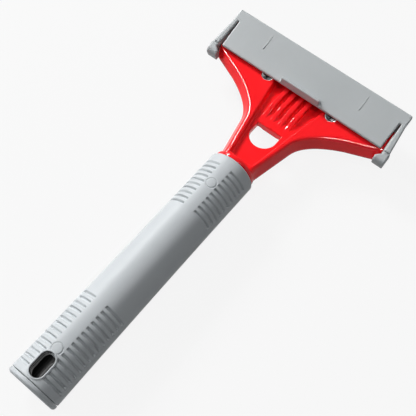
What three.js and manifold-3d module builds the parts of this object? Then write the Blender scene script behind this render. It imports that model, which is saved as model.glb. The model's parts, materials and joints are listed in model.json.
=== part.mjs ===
// Hand scraper with a clamped 100 mm blade, a slip-on blade guard and a round grip.
// Lengths are in millimetres. Two frames are used while building:
// the handle frame starts at the grip's front face, with X forward along the grip's axis and Z up;
// the blade frame starts where the head bends, with X forward along the blade, pitched up by the bend.
// The finished group has the middle of its box over the origin and its lowest point on Z = 0.

import * as THREE from 'three';
import { mergeVertices } from 'three/addons/utils/BufferGeometryUtils.js';
import Module from 'manifold-3d';

const wasm = await Module();
wasm.setup();

// Clearances
const SEAT_GAP = 0.2;
const SLIP_GAP = 0.3;
const OVERSHOOT = 5;

// Grip sleeve
const GRIP_LENGTH = 138.4;
const GRIP_RADIUS_FRONT = 12.9;
const GRIP_RADIUS_MIDDLE = 12.8;
const GRIP_RADIUS_REAR = 13.3;
const GRIP_WALL = 2.4;
const GRIP_EDGE_RADIUS = 1.2;
const GRIP_REAR_CHAMFER = 0.5;
const GRIP_SIDES = 48;

// Finger grooves, two groups with a left and a right row each
const GROOVE_PITCH = 3.02;
const GROOVE_WIDTH = 1.3;
const GROOVE_DEPTH = 0.9;
const GROOVE_START_DEGREES = 16;
const GROOVE_END_DEGREES = 72;
const FRONT_GROOVES = 10;
const REAR_GROOVES = 14;
const FRONT_GROOVE_OFFSET = 6.8;
const REAR_GROOVE_OFFSET = 4.3;

// Hanging slot through the rear of the handle, with a raised rim
const SLOT_LENGTH = 12.6;
const SLOT_WIDTH = 7.2;
const SLOT_TO_CAP = 1.6;
const SLOT_RIM_WIDTH = 0.8;
const SLOT_RIM_HEIGHT = 0.3;

// Handle core, the tube inside the sleeve, and its end boss
const CORE_WALL = 2.4;
const CORE_BOSS_WALL = 1.4;
const CORE_BOSS_LENGTH = 1.1;

// End cap
const CAP_THICKNESS = 2.2;
const CAP_SEAM = 0.5;
const CAP_EDGE_RADIUS = 1.6;
const CAP_EDGE_CHAMFER = 0.5;

// Pins that lock the sleeve to the core and the core to the head's tang
const PIN_RADIUS = 2.5;
const PIN_FRONT_OFFSET = 17.4;
const PIN_REAR_OFFSET = 121.6;
const PIN_DEPTH_IN_TANG = 3.5;

// Head frame: neck, wings and top plate
const BEND_DEGREES = 17.4;
const BEND_X = 58;
const HEAD_TOP = 4;
const HEAD_DEPTH = 7;
const HEAD_EDGE_RUN = 2.6;
const HEAD_EDGE_DROP = 5.5;
const NECK_HALF_WIDTH = 10.2;
const NECK_FLARE_X = 28;
const NECK_FLARE_HALF_WIDTH = 16.2;
const WING_BEND_X = 38.4;
const WING_BEND_HALF_WIDTH = 18.4;
const WING_STRAIGHT_BACK = 10.3;
const WING_STRAIGHT_INSET = 16;
const WING_TIP_BACK = 2.3;
const SPINE_REACH = 48;
const SPINE_FRONT_RADIUS = 4.4;
const COLLAR_RADIUS = 11.8;
const COLLAR_LENGTH = 2.4;
const COLLAR_EDGE = 0.7;
const TANG_LENGTH = 55;
const TANG_CHAMFER = 1.5;

// Pocket in the head's top, with its ribs and the D-shaped hole
const POCKET_REAR_X = 6.9;
const POCKET_REAR_HALF_WIDTH = 7.1;
const POCKET_FRONT_HALF_WIDTH = 16.4;
const POCKET_REACH = 2;
const POCKET_DEPTH = 2.6;
const POCKET_FRONT_DEPTH = 3.4;
const POCKET_SLOPE_X = 35;
const POCKET_DRAFT = 1.2;
const RIB_COUNT = 4;
const RIB_SPACING = 4.8;
const RIB_WIDTH = 3;
const RIB_REAR_X = 36.5;
const RIB_RISE = 14;
const RIB_DROP = 0.5;
const D_HOLE_FRONT_X = 32;
const D_HOLE_REAR_X = 19.2;
const D_HOLE_RADIUS = 7.5;

// Jaws, blade and clamp screws, in the blade frame
const JAW_FRONT_X = 12;
const JAW_SLOPE_X = 4.5;
const UPPER_JAW = 4.6;
const UPPER_JAW_NOSE = 1.6;
const JAW_NOSE_TAPER = 0.8;
const CHEEK_WALL = 2.7;
const CHEEK_DEPTH = 9;
const CHEEK_FRONT_X = 10;
const LOWER_JAW = 4;
const LOWER_JAW_NOSE = 1.4;
const LOWER_JAW_NOSE_LENGTH = 5;
const LOWER_JAW_REAR_X = -4.8;
const LOWER_JAW_CORNER_LENGTH = 5.9;
const LOWER_JAW_CORNER_WIDTH = 9.6;
const BLADE_LENGTH = 100;
const BLADE_DEPTH = 18;
const BLADE_THICKNESS = 0.6;
const BLADE_REAR_X = -1;
const BLADE_BEVEL = 2.2;
const BLADE_EDGE = 0.08;
const BLADE_CORNER_LENGTH = 5.2;
const BLADE_CORNER_WIDTH = 7;
const BLADE_SLOT_WIDTH = 5;
const BLADE_SLOT_DEPTH = 4.2;
const SCREW_X = 0;
const SCREW_SPACING = 41.6;
const SCREW_RADIUS = 2;
const SCREW_HEAD_RADIUS = 3.2;
const SCREW_HEAD_HEIGHT = 1.7;
const SCREW_HEAD_SINK = 0.3;
const SCREW_HEAD_EDGE = 0.4;
const SCREW_RECESS_WIDTH = 0.9;
const SCREW_RECESS_LENGTH = 3.6;
const SCREW_RECESS_DEPTH = 1;
const WASHER_RADIUS = 3.45;
const WASHER_THICKNESS = 0.5;
const NUT_ACROSS_FLATS = 7;
const NUT_HEIGHT = 2.2;

// Blade guard, in the blade frame
const GUARD_FRONT_X = 22;
const GUARD_DEPTH = 23;
const GUARD_TOP = 3;
const GUARD_WALL = 1.9;
const GUARD_FLOOR_GAP = 0.6;
const GUARD_BLADE_GAP = 2.4;
const GUARD_CORNER_RADIUS = 1;
const GUARD_EDGE_HEIGHT = 3;
const GUARD_SIDE_LEAN = 2.8;
const GUARD_END_GAP = 0.6;
const GUARD_PANEL_INSET = 1.5;
const GUARD_LIP_WIDTH = 24.4;
const GUARD_LIP_HEIGHT = 2.8;
const GUARD_LIP_LEAN = 1.6;
const GUARD_LIP_LAND = 1.2;
const GUARD_LIP_FOOT = 4.4;
const ARM_ROOT_X = 15.3;
const ARM_ROOT_WALL = 2.9;
const ARM_WALL = 3.3;
const ARM_SPLAY = 1.8;
const ARM_HEIGHT = 3.6;
const HOOK_LENGTH = 6.6;
const HOOK_HEIGHT = 7;
const HOOK_CREST_RADIUS = 3.5;
const HOOK_STEP = 0.5;
const HOOK_CATCH = 2.1;
const HOOK_NOSE_LENGTH = 1.9;
const HOOK_NOSE_SLANT = 1.7;
const HOOK_NOTCH_WIDTH = 0.7;
const HOOK_NOTCH_DEPTH = 1;
const HOOK_ROUND = 1.4;

// Values that follow from the sizes above
const BEND = THREE.MathUtils.degToRad(BEND_DEGREES);
const coreRadius = Math.min(GRIP_RADIUS_FRONT, GRIP_RADIUS_MIDDLE, GRIP_RADIUS_REAR) - GRIP_WALL - SLIP_GAP;
const coreBore = coreRadius - CORE_WALL;
const coreBossRadius = coreBore + CORE_BOSS_WALL;
const tangRadius = coreBore - SLIP_GAP;
const capRadius = GRIP_RADIUS_REAR;
const slotMiddle = GRIP_LENGTH - SLOT_TO_CAP - SLOT_LENGTH / 2;
const rearGrooveStart = GRIP_LENGTH - REAR_GROOVE_OFFSET - (REAR_GROOVES - 1) * GROOVE_PITCH;
const pinFrontBottom = tangRadius - PIN_DEPTH_IN_TANG;
const pinRearBottom = coreBore + SEAT_GAP;
const headBottom = HEAD_TOP - HEAD_DEPTH;
const pocketFrontX = BEND_X + POCKET_REACH;
const bladeTop = -UPPER_JAW - SEAT_GAP;
const lowerJawTop = bladeTop - BLADE_THICKNESS - SEAT_GAP;
const lowerJawBottom = lowerJawTop - LOWER_JAW;
const lowerJawHalfWidth = BLADE_LENGTH / 2;
const wingHalfWidth = BLADE_LENGTH / 2 + SLIP_GAP + CHEEK_WALL;
const screwTop = -SCREW_HEAD_SINK;
const washerTop = screwTop - SCREW_HEAD_HEIGHT - SEAT_GAP;
const counterboreFloor = washerTop - WASHER_THICKNESS - SEAT_GAP;
const counterboreRadius = WASHER_RADIUS + SEAT_GAP;
const screwHoleRadius = SCREW_RADIUS + SLIP_GAP;
const nutTop = lowerJawBottom + NUT_HEIGHT;
const nutCircle = NUT_ACROSS_FLATS / 2 / Math.cos(Math.PI / 6);
const guardBottom = lowerJawBottom - GUARD_FLOOR_GAP - GUARD_WALL;
const guardRearX = GUARD_FRONT_X - GUARD_DEPTH;
const hookRearX = guardRearX - HOOK_LENGTH;
const guardInside = BLADE_LENGTH / 2 + GUARD_BLADE_GAP;
const guardEndInside = BLADE_LENGTH / 2 + GUARD_END_GAP;
const guardHalfWidth = guardInside + ARM_ROOT_WALL;
const panelHalfWidth = wingHalfWidth - GUARD_PANEL_INSET;
const armOuterRear = guardHalfWidth + ARM_SPLAY;
const reach = wingHalfWidth + BEND_X;

// Where the blade frame stands in the handle frame
const bladeFrame = new THREE.Matrix4()
  .makeTranslation(BEND_X, 0, HEAD_TOP)
  .multiply(new THREE.Matrix4().makeRotationY(-BEND));

// Turns for flat shapes: one stands them up to be pushed along X, the other to be pushed along -Y
const alongX = new THREE.Matrix4().makeBasis(
  new THREE.Vector3(0, 1, 0), new THREE.Vector3(0, 0, 1), new THREE.Vector3(1, 0, 0));
const alongY = new THREE.Matrix4().makeBasis(
  new THREE.Vector3(1, 0, 0), new THREE.Vector3(0, 0, 1), new THREE.Vector3(0, -1, 0));
const moved = (x, y, z) => new THREE.Matrix4().makeTranslation(x, y, z);

// Six times the signed volume of an indexed triangle mesh, to tell which way its faces point
function signedVolume(positions, index) {
  let sum = 0;
  const a = new THREE.Vector3();
  const b = new THREE.Vector3();
  const c = new THREE.Vector3();
  for (let i = 0; i < index.length; i += 3) {
    a.fromArray(positions, 3 * index[i]);
    b.fromArray(positions, 3 * index[i + 1]);
    c.fromArray(positions, 3 * index[i + 2]);
    sum += a.dot(b.cross(c));
  }
  return sum;
}

// A closed three.js geometry as a solid that can be cut and joined
function solid(geometry, matrix = new THREE.Matrix4()) {
  const bare = geometry.clone().applyMatrix4(matrix);
  bare.deleteAttribute('normal');
  bare.deleteAttribute('uv');
  const merged = mergeVertices(bare);
  const vertProperties = new Float32Array(merged.attributes.position.array);
  const triVerts = new Uint32Array(merged.index.array);
  if (signedVolume(vertProperties, triVerts) < 0) triVerts.reverse();
  return new wasm.Manifold(new wasm.Mesh({ numProp: 3, vertProperties, triVerts }));
}

const joined = (bodies) => bodies.reduce((sum, body) => sum.add(body));
const cut = (body, tools) => tools.reduce((rest, tool) => rest.subtract(tool), body);

// A solid back as flat-shaded three.js geometry, in a named mesh
function piece(name, body, material) {
  const { vertProperties, triVerts } = body.getMesh();
  const indexed = new THREE.BufferGeometry();
  indexed.setAttribute('position', new THREE.BufferAttribute(new Float32Array(vertProperties), 3));
  indexed.setIndex(new THREE.BufferAttribute(new Uint32Array(triVerts), 1));
  const geometry = indexed.toNonIndexed();
  geometry.computeVertexNormals();
  const mesh = new THREE.Mesh(geometry, material);
  mesh.name = name;
  return mesh;
}

// Flat shapes: one from corner points, one rectangle from its sides
const outline = (points) => new THREE.Shape(points.map(([x, y]) => new THREE.Vector2(x, y)));
const rectangle = (left, right, low, high) =>
  outline([[left, low], [right, low], [right, high], [left, high]]);
const mirrored = (points) => points.map(([x, y]) => [x, -y]).reverse();

// A plan view pushed up from z = low to z = high
function upright(shape, low, high) {
  const settings = { depth: high - low, bevelEnabled: false, curveSegments: 8 };
  return new THREE.ExtrudeGeometry(shape, settings).applyMatrix4(moved(0, 0, low));
}

// A side view, drawn with x forward and y up, pushed across to the given width about y = middle
function across(shape, width, middle = 0) {
  const geometry = new THREE.ExtrudeGeometry(shape, { depth: width, bevelEnabled: false });
  return geometry.applyMatrix4(moved(0, middle + width / 2, 0).multiply(alongY));
}

// A profile of [radius, distance behind the grip's front face] turned about the handle's axis
function turned(profile, sides = GRIP_SIDES) {
  const points = profile.map(([radius, back]) => new THREE.Vector2(radius, back));
  return new THREE.LatheGeometry(points, sides).rotateZ(Math.PI / 2);
}

// A profile of [radius, height] turned about an upright axis at (x, y)
function spun(profile, x, y, sides = 20) {
  const points = profile.map(([radius, height]) => new THREE.Vector2(radius, height));
  return new THREE.LatheGeometry(points, sides).rotateX(Math.PI / 2).applyMatrix4(moved(x, y, 0));
}

// An upright post or prism from z = low to z = high at (x, y)
function post(radius, low, high, x, y, sides = 24) {
  const geometry = new THREE.CylinderGeometry(radius, radius, high - low, sides).rotateX(Math.PI / 2);
  return geometry.applyMatrix4(moved(x, y, (low + high) / 2));
}

// Points along a round corner about (x, y), from one angle to another in degrees
function roundCorner(x, y, radius, from, to, steps) {
  return Array.from({ length: steps + 1 }, (_, i) => {
    const angle = THREE.MathUtils.degToRad(from + ((to - from) * i) / steps);
    return [x + radius * Math.cos(angle), y + radius * Math.sin(angle)];
  });
}

// A shape that widens by the draft between its floor and the given level, then goes straight up
function drafted(shape, floor, level, draft) {
  const geometry = new THREE.ExtrudeGeometry(shape, {
    depth: OVERSHOOT,
    bevelThickness: level - floor,
    bevelSize: draft,
    bevelOffset: -draft,
    bevelSegments: 1,
  });
  return solid(geometry, moved(0, 0, level));
}

// Grip

// The grip's outer radius at a distance behind its front face
const gripCurve = new THREE.SplineCurve([
  new THREE.Vector2(0, GRIP_RADIUS_FRONT),
  new THREE.Vector2(GRIP_LENGTH / 2, GRIP_RADIUS_MIDDLE),
  new THREE.Vector2(GRIP_LENGTH, GRIP_RADIUS_REAR),
]);
const gripRadius = (back) => gripCurve.getPoint(back / GRIP_LENGTH).y;
const GRIP_STATIONS = 9;

function stations(from, to) {
  return Array.from({ length: GRIP_STATIONS }, (_, i) => from + ((to - from) * i) / (GRIP_STATIONS - 1));
}

// The grip's outside as a full solid, larger all round by the given amount
function gripEnvelope(extra) {
  const side = stations(0, GRIP_LENGTH).map((back) => [gripRadius(back) + extra, back]);
  return solid(turned([[0, 0], ...side, [0, GRIP_LENGTH]]));
}

// The hanging slot's outline with round ends, lying along X
function slotShape(extra) {
  const radius = SLOT_WIDTH / 2 + extra;
  const half = (SLOT_LENGTH - SLOT_WIDTH) / 2;
  const shape = new THREE.Shape();
  shape.absarc(half - slotMiddle, 0, radius, -Math.PI / 2, Math.PI / 2);
  shape.absarc(-half - slotMiddle, 0, radius, Math.PI / 2, (3 * Math.PI) / 2);
  return shape;
}

// One finger groove: a ring sector to the left (side 1) or the right (side -1) of the grip's top
function grooveCutter(back, side) {
  const start = THREE.MathUtils.degToRad(90 - side * GROOVE_START_DEGREES);
  const end = THREE.MathUtils.degToRad(90 - side * GROOVE_END_DEGREES);
  const floor = gripRadius(back) - GROOVE_DEPTH;
  const shape = new THREE.Shape();
  shape.absarc(0, 0, floor + OVERSHOOT, start, end, side > 0);
  shape.absarc(0, 0, floor, end, start, side < 0);
  const settings = { depth: GROOVE_WIDTH, bevelEnabled: false, curveSegments: 8 };
  const place = moved(-back - GROOVE_WIDTH / 2, 0, 0).multiply(alongX);
  return solid(new THREE.ExtrudeGeometry(shape, settings), place);
}

function grooveGroup(start, count) {
  const places = Array.from({ length: count }, (_, i) => start + i * GROOVE_PITCH);
  return places.flatMap((back) => [grooveCutter(back, 1), grooveCutter(back, -1)]);
}

const slotCutter = () => solid(upright(slotShape(0), -capRadius - OVERSHOOT, capRadius + OVERSHOOT));
const pinHole = (offset, low) => solid(post(PIN_RADIUS + SEAT_GAP, low, capRadius + OVERSHOOT, -offset, 0));

function gripSleeve() {
  const bore = coreRadius + SLIP_GAP;
  const edge = GRIP_EDGE_RADIUS;
  const profile = [
    [bore, 0],
    ...roundCorner(gripRadius(0) - edge, edge, edge, -90, 0, 4).slice(0, -1),
    ...stations(edge, GRIP_LENGTH - GRIP_REAR_CHAMFER).map((back) => [gripRadius(back), back]),
    [gripRadius(GRIP_LENGTH) - GRIP_REAR_CHAMFER, GRIP_LENGTH],
    [bore, GRIP_LENGTH],
    [bore, 0],
  ];
  const rim = solid(upright(slotShape(SLOT_RIM_WIDTH), bore, capRadius + OVERSHOOT))
    .intersect(gripEnvelope(SLOT_RIM_HEIGHT));
  const grooves = [
    ...grooveGroup(FRONT_GROOVE_OFFSET, FRONT_GROOVES),
    ...grooveGroup(rearGrooveStart, REAR_GROOVES),
  ];
  const holes = [slotCutter(), pinHole(PIN_FRONT_OFFSET, 0), pinHole(PIN_REAR_OFFSET, 0)];
  return cut(cut(solid(turned(profile)), grooves).add(rim), holes);
}

function handleCore() {
  const rear = GRIP_LENGTH + CORE_BOSS_LENGTH;
  const profile = [
    [coreBore, SLIP_GAP],
    [coreRadius, SLIP_GAP],
    [coreRadius, GRIP_LENGTH],
    [coreBossRadius, GRIP_LENGTH],
    [coreBossRadius, rear],
    [coreBore, rear],
    [coreBore, SLIP_GAP],
  ];
  const holes = [slotCutter(), pinHole(PIN_FRONT_OFFSET, 0), pinHole(PIN_REAR_OFFSET, 0)];
  return cut(solid(turned(profile, 32)), holes);
}

function endCap() {
  const front = GRIP_LENGTH + CAP_SEAM;
  const rear = front + CAP_THICKNESS;
  const recess = GRIP_LENGTH + CORE_BOSS_LENGTH + SLIP_GAP;
  const edge = CAP_EDGE_RADIUS;
  return solid(turned([
    [0, recess],
    [coreBossRadius + SLIP_GAP, recess],
    [coreBossRadius + SLIP_GAP, front],
    [capRadius - CAP_EDGE_CHAMFER, front],
    [capRadius, front + CAP_EDGE_CHAMFER],
    ...roundCorner(capRadius - edge, rear - edge, edge, 0, 90, 4),
    [0, rear],
  ]));
}

function gripPin(offset, low) {
  return solid(post(PIN_RADIUS, low, capRadius + OVERSHOOT, -offset, 0)).intersect(gripEnvelope(0));
}

// Head

// Half of the head's plan outline at its widest level, from the collar to the wing tip
function headHalfOutline() {
  const flare = new THREE.Vector2(NECK_FLARE_X, NECK_FLARE_HALF_WIDTH);
  const bendPoint = new THREE.Vector2(WING_BEND_X, WING_BEND_HALF_WIDTH);
  const straight = new THREE.Vector2(BEND_X - WING_STRAIGHT_BACK, wingHalfWidth - WING_STRAIGHT_INSET);
  const sweep = new THREE.QuadraticBezierCurve(flare, bendPoint, straight).getPoints(10);
  return [
    [SLIP_GAP, NECK_HALF_WIDTH],
    ...sweep.map((point) => [point.x, point.y]),
    [BEND_X - WING_TIP_BACK, wingHalfWidth],
    [BEND_X + OVERSHOOT, wingHalfWidth],
  ];
}

// Tools that trim away what lies ahead of the bend, or below a level
const aheadOfBend = () => solid(across(rectangle(0, reach, -reach, reach), 2 * reach), bladeFrame);
const belowLevel = (level) =>
  solid(upright(rectangle(-reach, 2 * reach, -reach, reach), level - reach, level));

// The plan outline pushed up, with sides that stand square at the bottom and lean in towards the top face
function headPlate() {
  const half = headHalfOutline();
  const geometry = new THREE.ExtrudeGeometry(outline([...half, ...mirrored(half)]), {
    depth: HEAD_DEPTH - HEAD_EDGE_DROP,
    bevelThickness: HEAD_EDGE_DROP,
    bevelSize: HEAD_EDGE_RUN,
    bevelOffset: -HEAD_EDGE_RUN,
    bevelSegments: 1,
  });
  return cut(solid(geometry, moved(0, 0, headBottom)), [belowLevel(headBottom), aheadOfBend()]);
}

// The round spine under the neck: a cone whose axis climbs until its underside meets the plate's
function spine() {
  const rise = headBottom + SPINE_FRONT_RADIUS;
  const cone = new THREE.CylinderGeometry(SPINE_FRONT_RADIUS, NECK_HALF_WIDTH, SPINE_REACH, 32);
  const lean = new THREE.Matrix4().set(1, 0, 0, 0, 0, 1, 0, 0, rise / SPINE_REACH, 0, 1, 0, 0, 0, 0, 1);
  const laid = cone.translate(0, SPINE_REACH / 2, 0).rotateZ(-Math.PI / 2);
  return solid(laid, lean.multiply(moved(SLIP_GAP, 0, 0)));
}

// The collar against the grip and the tang inside it, turned in one profile
function collarAndTang() {
  const front = -SLIP_GAP - COLLAR_LENGTH;
  return solid(turned([
    [0, front],
    [COLLAR_RADIUS - COLLAR_EDGE, front],
    [COLLAR_RADIUS, front + COLLAR_EDGE],
    [COLLAR_RADIUS, -SLIP_GAP],
    [tangRadius, -SLIP_GAP],
    [tangRadius, TANG_LENGTH - TANG_CHAMFER],
    [tangRadius - TANG_CHAMFER, TANG_LENGTH],
    [0, TANG_LENGTH],
  ], 40));
}

// The upper jaw ahead of the bend, thinned towards its nose, with a cheek at each end of the blade
function upperJaw() {
  const side = outline([
    [-SEAT_GAP, 0],
    [JAW_SLOPE_X, 0],
    [JAW_FRONT_X, UPPER_JAW_NOSE - UPPER_JAW],
    [JAW_FRONT_X, -UPPER_JAW],
    [-SEAT_GAP, -UPPER_JAW],
  ]);
  const plan = outline([
    [-SEAT_GAP, -wingHalfWidth],
    [JAW_FRONT_X, JAW_NOSE_TAPER - wingHalfWidth],
    [JAW_FRONT_X, wingHalfWidth - JAW_NOSE_TAPER],
    [-SEAT_GAP, wingHalfWidth],
  ]);
  const ends = rectangle(-SEAT_GAP, CHEEK_FRONT_X, -reach, reach);
  const cheeks = solid(upright(ends, -CHEEK_DEPTH, -UPPER_JAW / 2));
  const between = solid(upright(lowerJawPlan(SLIP_GAP, reach), -CHEEK_DEPTH - OVERSHOOT, -UPPER_JAW));
  const full = solid(across(side, 2 * reach)).add(cut(cheeks, [between]));
  const level = solid(upright(plan, -CHEEK_DEPTH - OVERSHOOT, OVERSHOOT));
  return full.intersect(level);
}

// The lower jaw's plan: square in front, with its rear corners cut off to clear the wing's wall
function lowerJawPlan(extra, frontX) {
  const rearX = LOWER_JAW_REAR_X - extra;
  const halfWidth = lowerJawHalfWidth + extra;
  const half = [
    [frontX, halfWidth],
    [rearX + LOWER_JAW_CORNER_LENGTH, halfWidth],
    [rearX, halfWidth - LOWER_JAW_CORNER_WIDTH],
  ];
  return outline([...half, ...mirrored(half)]);
}

// The room under the upper jaw that the blade and the lower jaw need
const jawRoom = () => solid(upright(lowerJawPlan(SLIP_GAP, reach), -reach, -UPPER_JAW), bladeFrame);

// The tapered pocket in the top, whose floor slopes down towards the guard
function pocketCutter() {
  const half = [[pocketFrontX, POCKET_FRONT_HALF_WIDTH], [POCKET_REAR_X, POCKET_REAR_HALF_WIDTH]];
  const plan = outline([...half, ...mirrored(half)]);
  const well = drafted(plan, HEAD_TOP - POCKET_FRONT_DEPTH, HEAD_TOP, POCKET_DRAFT);
  const floor = outline([
    [0, HEAD_TOP - POCKET_DEPTH],
    [POCKET_SLOPE_X, HEAD_TOP - POCKET_DEPTH],
    [pocketFrontX, HEAD_TOP - POCKET_FRONT_DEPTH],
    [pocketFrontX, HEAD_TOP + OVERSHOOT],
    [0, HEAD_TOP + OVERSHOOT],
  ]);
  return well.intersect(solid(across(floor, 2 * reach)));
}

// The ribs in the pocket, rising out of its floor towards the guard
function ribs() {
  const foot = HEAD_TOP - POCKET_FRONT_DEPTH - SEAT_GAP;
  const crest = HEAD_TOP - RIB_DROP;
  const side = outline([
    [RIB_REAR_X, foot],
    [pocketFrontX + SEAT_GAP, foot],
    [pocketFrontX + SEAT_GAP, crest],
    [RIB_REAR_X + RIB_RISE, crest],
    [RIB_REAR_X, HEAD_TOP - POCKET_DEPTH],
  ]);
  const places = Array.from({ length: RIB_COUNT }, (_, i) => (i - (RIB_COUNT - 1) / 2) * RIB_SPACING);
  return places.map((y) => solid(across(side, RIB_WIDTH, y)));
}

// The D-shaped hole: straight in front, round at the rear
function dHole() {
  const shape = new THREE.Shape();
  const middle = D_HOLE_REAR_X + D_HOLE_RADIUS;
  shape.moveTo(D_HOLE_FRONT_X, -D_HOLE_RADIUS);
  shape.lineTo(D_HOLE_FRONT_X, D_HOLE_RADIUS);
  shape.absarc(middle, 0, D_HOLE_RADIUS, Math.PI / 2, (3 * Math.PI) / 2);
  return solid(upright(shape, -reach, reach));
}

const screwSides = [1, -1].map((side) => (side * SCREW_SPACING) / 2);

function screwHoles() {
  return screwSides.flatMap((y) => [
    solid(post(screwHoleRadius, -reach, OVERSHOOT, SCREW_X, y), bladeFrame),
    solid(post(counterboreRadius, counterboreFloor, OVERSHOOT, SCREW_X, y), bladeFrame),
  ]);
}

function headFrame() {
  const jaw = upperJaw().transform(bladeFrame.elements);
  const body = joined([headPlate(), spine().intersect(belowLevel(HEAD_TOP)), jaw]);
  const pocketed = joined([cut(body, [pocketCutter()]), ...ribs(), collarAndTang()]);
  const pin = pinHole(PIN_FRONT_OFFSET, pinFrontBottom - SEAT_GAP);
  return cut(pocketed, [dHole(), jawRoom(), pin, ...screwHoles()]);
}

// Clamp and blade, in the blade frame

function blade() {
  const front = BLADE_REAR_X + BLADE_DEPTH;
  const middle = bladeTop - BLADE_THICKNESS / 2;
  const side = outline([
    [BLADE_REAR_X, bladeTop],
    [BLADE_REAR_X, bladeTop - BLADE_THICKNESS],
    [front - BLADE_BEVEL, bladeTop - BLADE_THICKNESS],
    [front, middle - BLADE_EDGE / 2],
    [front, middle + BLADE_EDGE / 2],
    [front - BLADE_BEVEL, bladeTop],
  ]);
  const half = [
    [front, BLADE_LENGTH / 2],
    [BLADE_REAR_X + BLADE_CORNER_LENGTH, BLADE_LENGTH / 2],
    [BLADE_REAR_X, BLADE_LENGTH / 2 - BLADE_CORNER_WIDTH],
  ];
  const corners = outline([...half, ...mirrored(half)]);
  const plan = solid(upright(corners, bladeTop - OVERSHOOT, bladeTop + OVERSHOOT));
  const slots = screwSides.map((y) => {
    const shape = new THREE.Shape();
    const end = BLADE_REAR_X + BLADE_SLOT_DEPTH - BLADE_SLOT_WIDTH / 2;
    shape.moveTo(BLADE_REAR_X - OVERSHOOT, y - BLADE_SLOT_WIDTH / 2);
    shape.lineTo(end, y - BLADE_SLOT_WIDTH / 2);
    shape.absarc(end, y, BLADE_SLOT_WIDTH / 2, -Math.PI / 2, Math.PI / 2);
    shape.lineTo(BLADE_REAR_X - OVERSHOOT, y + BLADE_SLOT_WIDTH / 2);
    return solid(upright(shape, bladeTop - OVERSHOOT, bladeTop + OVERSHOOT));
  });
  return cut(solid(across(side, BLADE_LENGTH)).intersect(plan), slots);
}

function lowerJaw() {
  const side = outline([
    [LOWER_JAW_REAR_X, lowerJawTop],
    [LOWER_JAW_REAR_X, lowerJawBottom],
    [JAW_FRONT_X - LOWER_JAW_NOSE_LENGTH, lowerJawBottom],
    [JAW_FRONT_X, lowerJawTop - LOWER_JAW_NOSE],
    [JAW_FRONT_X, lowerJawTop],
  ]);
  const low = lowerJawBottom - OVERSHOOT;
  const high = lowerJawTop + OVERSHOOT;
  const plan = solid(upright(lowerJawPlan(0, JAW_FRONT_X), low, high));
  const holes = screwSides.flatMap((y) => [
    solid(post(screwHoleRadius, low, high, SCREW_X, y)),
    solid(post(nutCircle + SEAT_GAP, low, nutTop + SEAT_GAP, SCREW_X, y, 6)),
  ]);
  return cut(solid(across(side, 2 * lowerJawHalfWidth)).intersect(plan), holes);
}

function clampScrew(y) {
  const neck = screwTop - SCREW_HEAD_HEIGHT;
  const body = solid(spun([
    [0, lowerJawBottom],
    [SCREW_RADIUS, lowerJawBottom],
    [SCREW_RADIUS, neck],
    [SCREW_HEAD_RADIUS, neck],
    [SCREW_HEAD_RADIUS, screwTop - SCREW_HEAD_EDGE],
    [SCREW_HEAD_RADIUS - SCREW_HEAD_EDGE, screwTop],
    [0, screwTop],
  ], SCREW_X, y));
  const bar = (length, width) => solid(upright(
    rectangle(SCREW_X - length / 2, SCREW_X + length / 2, y - width / 2, y + width / 2),
    screwTop - SCREW_RECESS_DEPTH, screwTop + OVERSHOOT));
  return cut(body, [
    bar(SCREW_RECESS_LENGTH, SCREW_RECESS_WIDTH),
    bar(SCREW_RECESS_WIDTH, SCREW_RECESS_LENGTH),
  ]);
}

function washer(y) {
  const low = washerTop - WASHER_THICKNESS;
  const inner = SCREW_RADIUS + SEAT_GAP;
  const ring = [
    [inner, low],
    [WASHER_RADIUS, low],
    [WASHER_RADIUS, washerTop],
    [inner, washerTop],
    [inner, low],
  ];
  return solid(spun(ring, SCREW_X, y));
}

function nut(y) {
  const hexagon = solid(post(nutCircle, lowerJawBottom, nutTop, SCREW_X, y, 6));
  const bore = post(SCREW_RADIUS + SEAT_GAP, lowerJawBottom - OVERSHOOT, nutTop + OVERSHOOT, SCREW_X, y);
  return cut(hexagon, [solid(bore)]);
}

// Blade guard, in the blade frame

// A wedge to cut from a guard end, so that it leans in below its upright edge; side is 1 or -1
function guardLean(side) {
  const edge = GUARD_TOP - GUARD_EDGE_HEIGHT;
  const wedge = outline([
    [side * guardHalfWidth, edge],
    [side * (guardHalfWidth + OVERSHOOT), edge],
    [side * (guardHalfWidth + OVERSHOOT), guardBottom],
    [side * (guardHalfWidth - GUARD_SIDE_LEAN), guardBottom],
  ]);
  const geometry = new THREE.ExtrudeGeometry(wedge, { depth: GUARD_DEPTH, bevelEnabled: false });
  return solid(geometry, moved(guardRearX + OVERSHOOT, 0, 0).multiply(alongX));
}

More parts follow.
